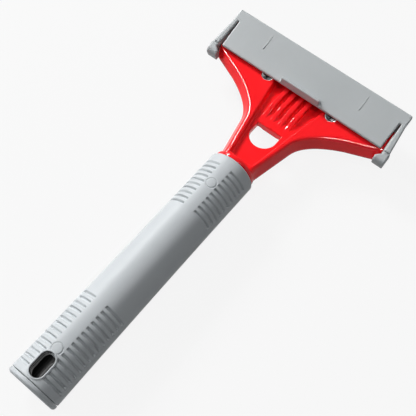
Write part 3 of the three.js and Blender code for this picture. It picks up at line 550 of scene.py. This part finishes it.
def pin_ring(back, degrees):
    """Depth of the thin ring round each pin, from the distance to the pin's middle on the surface."""
    across = grip_radius(back) * np.radians(degrees)
    rings = [np.abs(np.hypot(back - place, across) - PIN_RADIUS - RING_GAP) for place in PIN_PLACES]
    return RING_DEPTH * (1 - smooth_step(RING_FLAT, RING_OPEN, np.minimum(*rings)))


def slot_distance(back, across):
    """Distance outside the hanging slot's outline, which is a bar with round ends."""
    along = np.maximum(np.abs(back - SLOT_MIDDLE) - (SLOT_LENGTH - SLOT_WIDTH) / 2, 0)
    return np.hypot(along, across) - SLOT_WIDTH / 2


print("grip radii:", [round(float(grip_radius(b)), 2) for b in (0, GRIP_LENGTH / 2, GRIP_LENGTH)])

# %% Grip sleeve
# Start, end and step of each stretch of rows: fine where there are grooves
ROW_STRETCHES = ((1.4, 5.4, 0.8), (5.4, 37.6, 0.24), (37.6, 91.8, 2.0), (91.8, 137.8, 0.24))
TOP_STEPS, UNDER_STEPS = 176, 40
FRONT_ROUND, REAR_ROUND = 1.1, 0.5
GRIP_BORE, BORE_CHAMFER = 10.4, 0.3
BORE_FRONT_ROWS, BORE_REAR_ROWS = [60.0, BORE_CHAMFER, 0.0], [GRIP_LENGTH, 125.0, 90.0]
SLOT_MARGIN = 0.35

back = np.concatenate([np.arange(*stretch) for stretch in ROW_STRETCHES])
degrees = np.concatenate([np.linspace(-90, 90, TOP_STEPS, endpoint=False),
                          np.linspace(90, 270, UNDER_STEPS, endpoint=False)])
degrees = np.where(degrees > 180, degrees - 360, degrees)
front_round = arc(FRONT_ROUND, grip_radius(0.0) - FRONT_ROUND, FRONT_ROUND, 180, 95, 9)
rear_round = arc(GRIP_LENGTH - REAR_ROUND, grip_radius(GRIP_LENGTH) - REAR_ROUND, REAR_ROUND, 90, 0, 4)
row, turn = back[:, None], degrees[None, :]
shell = grip_radius(row) - groove_depth(row, turn) - pin_ring(row, turn)
flat = np.ones(len(degrees))
front_bore = np.array([[GRIP_BORE], [GRIP_BORE], [GRIP_BORE + BORE_CHAMFER]])
rear_bore = np.array([[GRIP_BORE], [GRIP_BORE], [GRIP_BORE]])
sleeve_back = np.concatenate([BORE_FRONT_ROWS, front_round[:, 0], back, rear_round[:, 0], BORE_REAR_ROWS])
sleeve_radius = np.vstack([front_bore * flat, front_round[:, 1:] * flat, shell, rear_round[:, 1:] * flat,
                           rear_bore * flat])
angle = np.radians(degrees)
grip_points = np.stack([np.broadcast_to(-sleeve_back[:, None], sleeve_radius.shape),
                        -sleeve_radius * np.sin(angle), sleeve_radius * np.cos(angle)], axis=-1)
grip_points = grip_points.reshape(-1, 3)
grip_faces = grid_faces(len(sleeve_back), len(degrees), close_rows=True, close_columns=True)
middle = grip_points[grip_faces].mean(axis=1)
closed = slot_distance(-middle[:, 0], middle[:, 1]) >= SLOT_MARGIN
make_piece("grip_tube", from_handle(grip_points), [grip_faces[closed]], "handle", "grip_grey",
           ["grip_sleeve"])

# %% [markdown]
# ## Slot rim and pins
# The hanging slot is bordered by a thin raised rim, and a black liner goes down from it through the grip's
# wall. Both are a profile of (distance outwards, height) carried along the slot's outline, where each height
# is measured from the grip's own surface, so they follow its roundness. The two round marks on the top line
# are flush pins: a disc of (radius, angle) laid on the grip.

# %% Slot rims and liners, top and under
SLOT_STEPS = 160
LINER_PROFILE = np.array([[0.6, -2.9], [0.05, -2.9], [0.05, -0.35], [0.6, -0.35]])
TOP_RISE, UNDER_RISE = 0.3, 0.0


def slot_path():
    """Outline points and outward directions: two half circles, joined by straight sides."""
    a = np.linspace(0, 2 * np.pi, SLOT_STEPS, endpoint=False)
    out = np.stack([np.cos(a), np.sin(a)], axis=1)
    shift = np.where(out[:, 0] >= 0, 1, -1) * (SLOT_LENGTH - SLOT_WIDTH) / 2
    return np.stack([shift, 0 * a], axis=1) + out * SLOT_WIDTH / 2, out


def slot_ring(profile):
    """A closed profile carried round the outline: x = along - slot middle, z = sqrt(R2 - y2) + height."""
    path, out = slot_path()
    spot = path[:, None, :] + out[:, None, :] * profile[None, :, :1]
    radius = grip_radius(SLOT_MIDDLE - spot[..., 0])
    height = np.sqrt(radius ** 2 - spot[..., 1] ** 2) + profile[None, :, 1]
    points = np.stack([spot[..., 0] - SLOT_MIDDLE, spot[..., 1], height], axis=-1)
    return points.reshape(-1, 3), grid_faces(len(path), len(profile), close_rows=True, close_columns=True)


def rim_profile(rise):
    """The rim's section: a low bead that rises above the grip by the given height."""
    return np.array([[0.7, -0.4], [0.0, -0.4], [0.0, rise - 0.25], [0.08, rise - 0.08], [0.25, rise],
                     [0.6, rise], [0.8, rise - 0.12], [0.95, -0.1], [1.0, -0.3]])


for place, rise, up in (("top", TOP_RISE, 1), ("under", UNDER_RISE, -1)):
    rings = (("rim", rim_profile(rise), "grip_grey"), ("liner", LINER_PROFILE, "core_black"))
    for kind, profile, slot in rings:
        ring_points, ring_faces = slot_ring(profile)
        ring_points = from_handle(ring_points * [1, 1, up])
        make_piece(f"slot_{kind}_{place}", ring_points, [ring_faces[:, ::up]], "handle", slot)

# %% Grip pins
# Rings of a pin, each as distance inside its rim and height above the grip
PIN_RINGS = np.array([[1.7, 0.06], [0.9, 0.06], [0.3, 0.06], [0.2, 0.05], [0.08, 0.0], [0.02, -0.12],
                      [0.0, -1.0], [0.0, -1.5], [1.2, -1.5]])
PIN_STEPS = 48


def pin_disc(place):
    """A disc on the grip: rings of radius rho, dropped at the edge, at z = sqrt(R2 - y2) + lift."""
    rho, lift = PIN_RADIUS - PIN_RINGS[:, :1], PIN_RINGS[:, 1:]
    a = np.linspace(0, 2 * np.pi, PIN_STEPS, endpoint=False)
    x, y = rho * np.cos(a), rho * np.sin(a)
    z = np.sqrt(grip_radius(place - x) ** 2 - y ** 2) + lift
    rings = np.stack([x - place, y, z], axis=-1).reshape(-1, 3)
    poles = [[-place, 0, grip_radius(place) + end] for end in (lift[0, 0], lift[-1, 0])]
    return np.vstack([rings, poles]), polar_faces(len(rho), PIN_STEPS)


for place, end in zip(PIN_PLACES, ("front", "rear")):
    pin_points, pin_faces = pin_disc(place)
    make_piece(f"pin_{end}_disc", from_handle(pin_points), pin_faces, "handle", "grip_grey",
               [f"grip_pin_{end}"])

# %% [markdown]
# ## Blade guard
# The guard is one grey moulding that slips over the blade: a shallow box, open at the rear, with a thumb lip
# and two sprung arms that hook behind the wing tips. As on the head, its forms are fields joined with small
# fillets. Its plans are drawn as seen from above, in the blade's own place, so they stay straight.

# %% Guard plans
GUARD_FRONT, GUARD_REAR, GUARD_TOP, GUARD_BOTTOM, GUARD_WALL = 22.0, -1.0, 3.0, -12.1, 1.9
GUARD_HALF, GUARD_INSIDE, GUARD_END_INSIDE, PANEL_HALF, GAP_HALF = 55.3, 52.4, 50.6, 51.5, 0.45
ARM_ROOT, ARM_JOIN, ARM_OUTER, ARM_INNER = 15.3, 1.0, 57.1, 53.8
HOOK_REAR, HOOK_OUTER, HOOK_NOSE, NOSE_FRONT, NOSE_ROOT = -8.2, 57.5, 51.2, -5.2, -2.8
LIP_HALF, LIP_HEIGHT, LIP_LEAN, LIP_LAND, LIP_FOOT, LIP_SINK = 12.2, 2.8, 1.6, 1.1, 3.4, 0.5

panel_plan = mirrored([[GUARD_REAR, PANEL_HALF], [ARM_ROOT, GUARD_INSIDE - GAP_HALF], [ARM_ROOT, GUARD_HALF],
                       [GUARD_FRONT, GUARD_HALF]])
arm_plan = np.array([[ARM_ROOT + ARM_JOIN, GUARD_INSIDE + GAP_HALF], [ARM_ROOT + ARM_JOIN, GUARD_HALF],
                     [ARM_ROOT, GUARD_HALF], [GUARD_REAR, ARM_OUTER], [NOSE_ROOT, ARM_OUTER],
                     [NOSE_ROOT, ARM_INNER]])
hook_plan = np.array([[GUARD_REAR, ARM_INNER], [GUARD_REAR, HOOK_OUTER], [HOOK_REAR, HOOK_OUTER],
                      [HOOK_REAR, HOOK_NOSE], [NOSE_FRONT, HOOK_NOSE], [NOSE_ROOT, ARM_INNER]])
lip_side = np.array([[GUARD_REAR, GUARD_TOP - LIP_SINK], [GUARD_REAR + LIP_FOOT, GUARD_TOP - LIP_SINK],
                     [GUARD_REAR + LIP_LEAN + LIP_LAND, GUARD_TOP + LIP_HEIGHT],
                     [GUARD_REAR + LIP_LEAN, GUARD_TOP + LIP_HEIGHT]])
print("guard plan corners:", len(panel_plan) + 2 * len(arm_plan) + 2 * len(hook_plan))

# %% Guard box, catches and skin
EDGE_HEIGHT, END_LEAN, CORNER_ROUND, GUARD_ROUND = 3.0, 2.8, 0.9, 0.55
SIDE_OPEN, INSIDE_ROUND = 1.0, 0.3
ARM_HEIGHT, ARM_LEAN = 8.6, 0.25
HOOK_HEIGHT, HOOK_CREST, HOOK_ROUND = 7.0, 3.2, 0.6
NOTCH_WIDTH, NOTCH_DEPTH, NOTCH_ROUND = 0.7, 1.0, 0.15
LIP_ROUND, LIP_FILLET = 0.5, 0.4
GUARD_CELL, GUARD_LOW, GUARD_HIGH = 0.4, (-8.6, -58, -12.6), (22.4, 58, 6.2)
edge_foot = GUARD_TOP - EDGE_HEIGHT


def box_field(x, y, z):
    """The box: its ends lean in below the upright edge, and its inside is open to the rear and the sides."""
    lean = END_LEAN * np.clip((edge_foot - z) / (edge_foot - GUARD_BOTTOM), 0, 1)
    plan = outline_depth(panel_plan, x, y)
    corner = rounded_max(np.abs(y) + lean - GUARD_HALF, x - GUARD_FRONT, CORNER_ROUND)
    outside = rounded_max(np.maximum(plan, corner), slab(z, GUARD_BOTTOM, GUARD_TOP), GUARD_ROUND)
    layer = slab(z, GUARD_BOTTOM + GUARD_WALL, GUARD_TOP - GUARD_WALL)
    wide = np.maximum(x - ARM_ROOT, np.abs(y) - GUARD_INSIDE - SIDE_OPEN)
    narrow = np.maximum(x - GUARD_FRONT + GUARD_WALL, np.abs(y) - GUARD_END_INSIDE)
    return rounded_max(outside, -np.maximum(np.minimum(wide, narrow), layer), INSIDE_ROUND)


def catch_field(x, y, z):
    """Both sprung arms: a strip that leans in below its edge, then a hook.
    The hook's rear end rolls down in a quarter circle, and a notch marks where it starts."""
    side = np.abs(y)
    outer = GUARD_HALF + (ARM_OUTER - GUARD_HALF) * np.clip((ARM_ROOT - x) / (ARM_ROOT - GUARD_REAR), 0, 1)
    lean = ARM_LEAN * np.maximum(edge_foot - z, 0)
    strip = np.maximum(outline_depth(arm_plan, x, side), side + lean - outer)
    arm = rounded_max(strip, slab(z, GUARD_TOP - ARM_HEIGHT, GUARD_TOP), GUARD_ROUND)
    behind, above = HOOK_REAR + HOOK_CREST - x, z - GUARD_TOP + HOOK_CREST
    rolled = np.where((behind > 0) & (above > 0), np.hypot(behind, above), np.maximum(behind, above))
    level = np.maximum(rolled - HOOK_CREST, GUARD_TOP - HOOK_HEIGHT - z)
    hook = rounded_max(outline_depth(hook_plan, x, side), level, HOOK_ROUND)
    notch = np.maximum(slab(x, GUARD_REAR - NOTCH_WIDTH, GUARD_REAR), GUARD_TOP - NOTCH_DEPTH - z)
    return rounded_max(np.minimum(arm, hook), -notch, NOTCH_ROUND)


def guard_field(x, y, z):
    """The whole guard: the box, the catches and the thumb lip."""
    lip = rounded_max(outline_depth(lip_side, x, z), np.abs(y) - LIP_HALF, LIP_ROUND)
    return rounded_min(np.minimum(box_field(x, y, z), catch_field(x, y, z)), lip, LIP_FILLET)


guard_points, guard_faces = field_skin(guard_field, GUARD_LOW, GUARD_HIGH, GUARD_CELL)
make_piece("guard_moulding", from_bend(guard_points), [guard_faces], "guard", "guard_grey",
           ["guard_shell", "guard_catch_left", "guard_catch_right"])

# %% [markdown]
# ## Divider lines
# Two fine raised lines stand on the guard's panel. They are thinner than the cells of the guard's skin, so
# each is a small bar of its own, sunk a little into the panel.

# %% Guard divider lines
LINE_SIDE, LINE_REAR, LINE_FRONT = 31.0, 9.3, 17.9
LINE_HALF, LINE_RISE, LINE_SINK = 0.16, 0.14, 0.4
BAR_CORNERS = np.array([[0, 0, 0], [1, 0, 0], [1, 1, 0], [0, 1, 0],
                        [0, 0, 1], [1, 0, 1], [1, 1, 1], [0, 1, 1]])
BAR_FACES = np.array([[0, 3, 2, 1], [4, 5, 6, 7], [0, 1, 5, 4], [1, 2, 6, 5], [2, 3, 7, 6], [3, 0, 4, 7]])
SIDES = ((1, "left"), (-1, "right"))

for side, name in SIDES:
    low = [LINE_REAR, side * LINE_SIDE - LINE_HALF, GUARD_TOP - LINE_SINK]
    high = [LINE_FRONT, side * LINE_SIDE + LINE_HALF, GUARD_TOP + LINE_RISE]
    line_points = np.where(BAR_CORNERS == 1, high, low)
    make_piece(f"guard_line_{name}", from_bend(line_points), [BAR_FACES], "guard", "guard_grey")

# %% [markdown]
# ## Screws and washers
# The two clamp screws sit half under the guard. Their heads have a cross recess, which again is a field, on
# a much finer grid. The cup washers round the heads are turned from a closed section.

# %% Clamp screw shape
SCREW_TOP, SCREW_HEAD, SCREW_HEAD_RADIUS, SCREW_SHANK, SCREW_END = -0.3, 1.7, 2.85, 2.0, -9.6
DOME_CURVE, DOME_ROUND, HEAD_UNDER_ROUND, SHANK_SINK = 0.035, 0.5, 0.1, 1.0
CROSS_REACH, CROSS_HALF, CROSS_DEPTH, CROSS_TAPER, CROSS_ROUND = 1.9, 0.48, 1.1, 0.35, 0.1
SCREW_CELL, SCREW_LOW, SCREW_HIGH = 0.16, (-3.3, -3.3, -9.7), (3.3, 3.3, 0.0)


def screw_field(x, y, z):
    """A pan head on a shank, less two crossed bars that taper towards the recess's floor."""
    out = np.hypot(x, y)
    dome = rounded_max(out - SCREW_HEAD_RADIUS, z - SCREW_TOP + out ** 2 * DOME_CURVE, DOME_ROUND)
    pan = rounded_max(dome, SCREW_TOP - SCREW_HEAD - z, HEAD_UNDER_ROUND)
    shank = np.maximum(out - SCREW_SHANK, slab(z, SCREW_END, SCREW_TOP - SHANK_SINK))
    reach = CROSS_REACH - CROSS_TAPER * (SCREW_TOP - z)
    bars = [np.maximum(np.abs(a) - reach, np.abs(b) - CROSS_HALF) for a, b in ((x, y), (y, x))]
    recess = np.maximum(np.minimum(*bars), SCREW_TOP - CROSS_DEPTH - z)
    return rounded_max(np.minimum(pan, shank), -recess, CROSS_ROUND)


screw_points, screw_faces = field_skin(screw_field, SCREW_LOW, SCREW_HIGH, SCREW_CELL)
print("a screw has", len(screw_points), "points")

# %% Clamp screws and washers
# Section of a washer, as height and radius: a flat bottom and a raised outer ring
WASHER_SECTION = np.array([[-2.7, 2.2], [-2.7, 3.5], [-2.6, 3.6], [-0.2, 3.6], [-0.1, 3.5], [-0.15, 3.1],
                           [-0.3, 2.95], [-2.2, 2.95], [-2.2, 2.2]])
WASHER_STEPS = 64

around = np.linspace(0, 2 * np.pi, WASHER_STEPS, endpoint=False)
height, out = WASHER_SECTION.T[:, :, None]
washer_points = np.stack(np.broadcast_arrays(out * np.cos(around), out * np.sin(around), height), axis=-1)
washer_points = washer_points.reshape(-1, 3)
washer_faces = grid_faces(len(WASHER_SECTION), WASHER_STEPS, close_rows=True, close_columns=True)[:, ::-1]
for side, name in SIDES:
    seat = np.array([SCREW_AT, side * SCREW_SIDE, 0])
    make_piece(f"screw_{name}_cross", from_bend(screw_points + seat), [screw_faces], f"screw_{name}",
               "screw_black", [f"clamp_screw_{name}"])
    make_piece(f"washer_{name}_ring", from_bend(washer_points + seat), [washer_faces], "handle", "zinc",
               [f"screw_washer_{name}"])

# %% [markdown]
# ## Finishes
# Every finish is worked out from the place on the object, so nothing is painted by hand. Effects that several
# finishes share are built once as node groups: a fine moulded grain and a slow drift of colour.

# %% Shared node groups
def new_group(name, inputs, output):
    """An empty shader node group with named sockets, and its input and output nodes."""
    group = bpy.data.node_groups.new(name, "ShaderNodeTree")
    for label, value in inputs.items():
        socket = group.interface.new_socket(name=label, in_out="INPUT", socket_type="NodeSocketFloat")
        socket.default_value = value
    group.interface.new_socket(name=output, in_out="OUTPUT", socket_type="NodeSocketFloat")
    return group, group.nodes.new("NodeGroupInput"), group.nodes.new("NodeGroupOutput")


def add_noise(group, enter, detail):
    """A noise on Object coordinates, scaled by the group's own input."""
    place = group.nodes.new("ShaderNodeTexCoord")
    noise = group.nodes.new("ShaderNodeTexNoise")
    noise.inputs["Detail"].default_value = detail
    group.links.new(place.outputs["Object"], noise.inputs["Vector"])
    group.links.new(enter.outputs["Scale"], noise.inputs["Scale"])
    return noise


def grain_group():
    """Fine mould grain: a few octaves of fine noise. Out comes a height."""
    group, enter, leave = new_group("mould_grain", {"Scale": 2500.0}, "Height")
    noise = add_noise(group, enter, detail=3)
    noise.inputs["Roughness"].default_value = 0.6
    group.links.new(noise.outputs["Fac"], leave.inputs["Height"])
    return group


def drift_group():
    """Slow drift: wide soft noise between a low and a high value, for colour and gloss."""
    group, enter, leave = new_group("slow_drift", {"Scale": 40.0, "Low": 0.0, "High": 1.0}, "Value")
    noise = add_noise(group, enter, detail=4)
    span = group.nodes.new("ShaderNodeMapRange")
    span.inputs["From Min"].default_value = 0.3
    span.inputs["From Max"].default_value = 0.7
    group.links.new(noise.outputs["Fac"], span.inputs["Value"])
    group.links.new(enter.outputs["Low"], span.inputs["To Min"])
    group.links.new(enter.outputs["High"], span.inputs["To Max"])
    group.links.new(span.outputs["Result"], leave.inputs["Value"])
    return group


GRAIN, DRIFT = grain_group(), drift_group()
print("node groups:", GRAIN.name, DRIFT.name)

# %% Finish recipe
TONE_DRIFT, GLOSS_DRIFT, GRAIN_DEPTH = 40.0, 92.0, 0.00004
# Sockets of a Mix node that mixes colours: they come after those for numbers and vectors
MIX_SHARE, MIX_DARK, MIX_LIGHT, MIX_RESULT = 0, 6, 7, 2


def add_group(nodes, group, **values):
    """A node group placed in a material, with its inputs set."""
    node = nodes.new("ShaderNodeGroup")
    node.node_tree = group
    for label, value in values.items():
        node.inputs[label].default_value = value
    return node


def finish(name, dark, light, roughness, metallic=0.0, grain=2500.0, bump=0.1, shine=0.5):
    """A finish: colour and roughness drift between two values, and the grain lifts the surface a little."""
    material = bpy.data.materials.new(name)
    material.use_nodes = True
    nodes, links = material.node_tree.nodes, material.node_tree.links
    shader = nodes["Principled BSDF"]
    shader.inputs["Metallic"].default_value = metallic
    shader.inputs["Specular IOR Level"].default_value = shine
    tone = add_group(nodes, DRIFT, Scale=TONE_DRIFT)
    mix = nodes.new("ShaderNodeMix")
    mix.data_type = "RGBA"
    mix.inputs[MIX_DARK].default_value = (*dark, 1)
    mix.inputs[MIX_LIGHT].default_value = (*light, 1)
    links.new(tone.outputs["Value"], mix.inputs[MIX_SHARE])
    links.new(mix.outputs[MIX_RESULT], shader.inputs["Base Color"])
    gloss = add_group(nodes, DRIFT, Scale=GLOSS_DRIFT, Low=roughness[0], High=roughness[1])
    links.new(gloss.outputs["Value"], shader.inputs["Roughness"])
    relief = add_group(nodes, GRAIN, Scale=grain)
    lift = nodes.new("ShaderNodeBump")
    lift.inputs["Strength"].default_value = bump
    lift.inputs["Distance"].default_value = GRAIN_DEPTH
    links.new(relief.outputs["Height"], lift.inputs["Height"])
    links.new(lift.outputs["Normal"], shader.inputs["Normal"])
    return material


print("finish recipe ready")

# %% [markdown]
# ## The seven finishes
# The head is glossy red plastic, the grip satin grey and the guard matt grey. The screws are black oxide on
# steel, the washers and nuts zinc plated, the blade ground bright, and the core a plain black plastic. One
# recipe makes them all, so they differ only in what the eye tells apart: colour, gloss, metal and grain.

# %% Finishes on the pieces
FINISHES = {
    "head_red": finish("red_gloss", (0.88, 0.0085, 0.0125), (0.94, 0.0125, 0.017), (0.07, 0.1),
                       bump=0.02, grain=900.0, shine=0.26),
    "grip_grey": finish("grip_satin", (0.44, 0.465, 0.48), (0.47, 0.495, 0.51), (0.42, 0.5),
                        bump=0.22, grain=2200.0, shine=0.11),
    "guard_grey": finish("guard_matte", (0.36, 0.383, 0.39), (0.39, 0.413, 0.42), (0.48, 0.56),
                         bump=0.28, grain=1800.0, shine=0.28),
    "core_black": finish("core_black", (0.022, 0.022, 0.023), (0.03, 0.03, 0.031), (0.38, 0.46)),
    "screw_black": finish("black_oxide", (0.05, 0.051, 0.053), (0.08, 0.081, 0.084), (0.24, 0.34),
                          metallic=0.85, bump=0.15),
    "zinc": finish("zinc_plate", (0.66, 0.67, 0.68), (0.76, 0.77, 0.78), (0.3, 0.42), metallic=1.0),
    "blade_steel": finish("ground_steel", (0.5, 0.51, 0.53), (0.6, 0.61, 0.63), (0.22, 0.32),
                          metallic=1.0, bump=0.2),
}
slot_of = {entry["node"]: entry["material_slot"] for entry in frame["record"]["subparts"]}
for thing in list(bpy.data.objects):
    slot = thing.get("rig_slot") or slot_of.get(thing.get("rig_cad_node"))
    if thing.type == "MESH" and slot:
        thing.data.materials.clear()
        thing.data.materials.append(FINISHES[slot])
print("finishes:", sorted(FINISHES))

# %% [markdown]
# ## Camera
# The camera was solved from the photograph: the guard's corners and the grip's outline fix where it stands
# and which way it looks. Its lens comes from the same fit: a focal length of 673 pixels across a 416 pixel
# frame, which is about 58 mm on a 36 mm sensor.

# %% Camera
FOCAL_PIXELS, FRAME_PIXELS, SENSOR, NEAR_CLIP = 672.7, 416.0, 36.0, 0.01
camera_place = np.array([-143.06, -90.3, 296.9]) + handle_place
view_way = np.array([0.35974, 0.26143, -0.89568])
right_way = np.array([0.62907, -0.77692, 0.02589])


def camera_matrix(place, ahead, right):
    """Columns right, up and back, made square to each other, and the place."""
    ahead = ahead / np.linalg.norm(ahead)
    right = right - ahead * (right @ ahead)
    right = right / np.linalg.norm(right)
    up = np.cross(right, ahead)
    columns = np.stack([right, up, -ahead, np.asarray(place) * MM], axis=1)
    return Matrix(np.vstack([columns, [0, 0, 0, 1]]).tolist())


lens = bpy.data.cameras.new("photo_camera")
lens.sensor_fit = "HORIZONTAL"
lens.sensor_width = SENSOR
lens.lens = FOCAL_PIXELS * SENSOR / FRAME_PIXELS
lens.clip_start = NEAR_CLIP
camera = bpy.data.objects.new("photo_camera", lens)
camera.matrix_world = camera_matrix(camera_place, view_way, right_way)
bpy.context.scene.collection.objects.link(camera)
bpy.context.scene.camera = camera
print("lens", round(lens.lens, 2), "mm")

# %% [markdown]
# ## Lights
# The photograph's main light comes from the upper left of the picture, so the far side of the grip falls into
# shade. A soft key light does that, and two small lights round off the shading. Two long strips act on shine
# alone: they draw the bright lines along the red edges without changing the colours' own light.

# %% Lights
LIGHT_AIM = Vector((0, 0, 0.02))
# Name, place, width and height in metres, power in watts, and whether the light acts on shine alone
LIGHTS = (
    ("key", (0.5, 1.25, 0.86), (0.45, 0.45), 30.5, False),
    ("side", (-0.62, 1.08, 0.83), (0.05, 0.05), 4.6, False),
    ("top", (-0.12, -0.12, 1.5), (0.05, 0.05), 2.8, False),
    ("left_edges", (-0.14, 1.2, 0.82), (1.2, 0.18), 62.0, True),
    ("right_edges", (-0.3, -0.3, 1.45), (0.5, 0.1), 15.0, True),
)


def area_light(name, place, size, power, shine_only):
    """A flat soft light at a place, turned to face the object."""
    data = bpy.data.lights.new(name, "AREA")
    data.shape = "RECTANGLE"
    data.size, data.size_y = size
    data.energy = power
    light = bpy.data.objects.new(name, data)
    light.location = place
    light.rotation_euler = (LIGHT_AIM - Vector(place)).to_track_quat("-Z", "Y").to_euler()
    light.visible_diffuse = not shine_only
    bpy.context.scene.collection.objects.link(light)


for setting in LIGHTS:
    area_light(*setting)
print("lights:", [setting[0] for setting in LIGHTS])

# %% [markdown]
# ## Floor and backdrop
# The photograph has a plain near-white ground. The floor and a round backdrop are white paper that glows for
# the camera and in reflections, so that they stay near white, while a share of plain paper keeps the object's
# shadow on the floor.

# %% Paper
PAPER_GREY, PAPER_ROUGHNESS, PAPER_GLOW, GLOW_SHARE = 0.4, 0.9, 0.985, 0.9


def paper_finish():
    """Grey paper mixed with a glow, which only camera, glossy and transmission rays see."""
    paper = bpy.data.materials.new("paper")
    paper.use_nodes = True
    nodes, links = paper.node_tree.nodes, paper.node_tree.links
    plain = nodes["Principled BSDF"]
    plain.inputs["Base Color"].default_value = (PAPER_GREY, PAPER_GREY, PAPER_GREY, 1)
    plain.inputs["Roughness"].default_value = PAPER_ROUGHNESS
    glow = nodes.new("ShaderNodeEmission")
    glow.inputs["Color"].default_value = (PAPER_GLOW, PAPER_GLOW, PAPER_GLOW, 1)
    ray = nodes.new("ShaderNodeLightPath")
    seen, seen_through, share = (nodes.new("ShaderNodeMath") for _ in range(3))
    share.operation = "MULTIPLY"
    share.inputs[1].default_value = GLOW_SHARE
    blend = nodes.new("ShaderNodeMixShader")
    links.new(ray.outputs["Is Camera Ray"], seen.inputs[0])
    links.new(ray.outputs["Is Glossy Ray"], seen.inputs[1])
    links.new(seen.outputs[0], seen_through.inputs[0])
    links.new(ray.outputs["Is Transmission Ray"], seen_through.inputs[1])
    links.new(seen_through.outputs[0], share.inputs[0])
    links.new(share.outputs[0], blend.inputs["Fac"])
    links.new(plain.outputs[0], blend.inputs[1])
    links.new(glow.outputs[0], blend.inputs[2])
    links.new(blend.outputs[0], nodes["Material Output"].inputs["Surface"])
    return paper


paper = paper_finish()
print("paper has", len(paper.node_tree.nodes), "nodes")

# %% Floor, backdrop and world
FLOOR_HALF, FLOOR_LEVEL = 4.0, -0.0004
WALL_RADIUS, WALL_HEIGHT, WALL_STEPS = 3.9, 2.6, 96
WORLD_COLOUR, WORLD_STRENGTH = (0.95, 0.97, 1.0, 1), 0.25


def studio_piece(name, points, faces):
    """A sheet of paper in the studio, which is no piece of the object."""
    mesh = bpy.data.meshes.new(name)
    mesh.from_pydata(points, [], faces)
    mesh.materials.append(paper)
    thing = bpy.data.objects.new(name, mesh)
    bpy.context.scene.collection.objects.link(thing)
    return thing


floor_corners = ((-1, -1), (1, -1), (1, 1), (-1, 1))
floor = studio_piece("floor", [(x * FLOOR_HALF, y * FLOOR_HALF, FLOOR_LEVEL) for x, y in floor_corners],
                     [(0, 1, 2, 3)])

around = np.linspace(0, 2 * np.pi, WALL_STEPS, endpoint=False)
wall_x, wall_y = WALL_RADIUS * np.cos(around), WALL_RADIUS * np.sin(around)
wall_rows = [np.stack([wall_x, wall_y, np.full(WALL_STEPS, level)], axis=1)
             for level in (FLOOR_LEVEL, WALL_HEIGHT)]
wall_faces = grid_faces(2, WALL_STEPS, close_columns=True)[:, ::-1]
wall = studio_piece("backdrop", np.vstack(wall_rows).tolist(), wall_faces.tolist())

world = bpy.data.worlds.new("studio")
bpy.context.scene.world = world
world.use_nodes = True
world.node_tree.nodes["Background"].inputs["Color"].default_value = WORLD_COLOUR
world.node_tree.nodes["Background"].inputs["Strength"].default_value = WORLD_STRENGTH
bpy.context.scene.view_settings.view_transform = "Standard"
print("studio set")
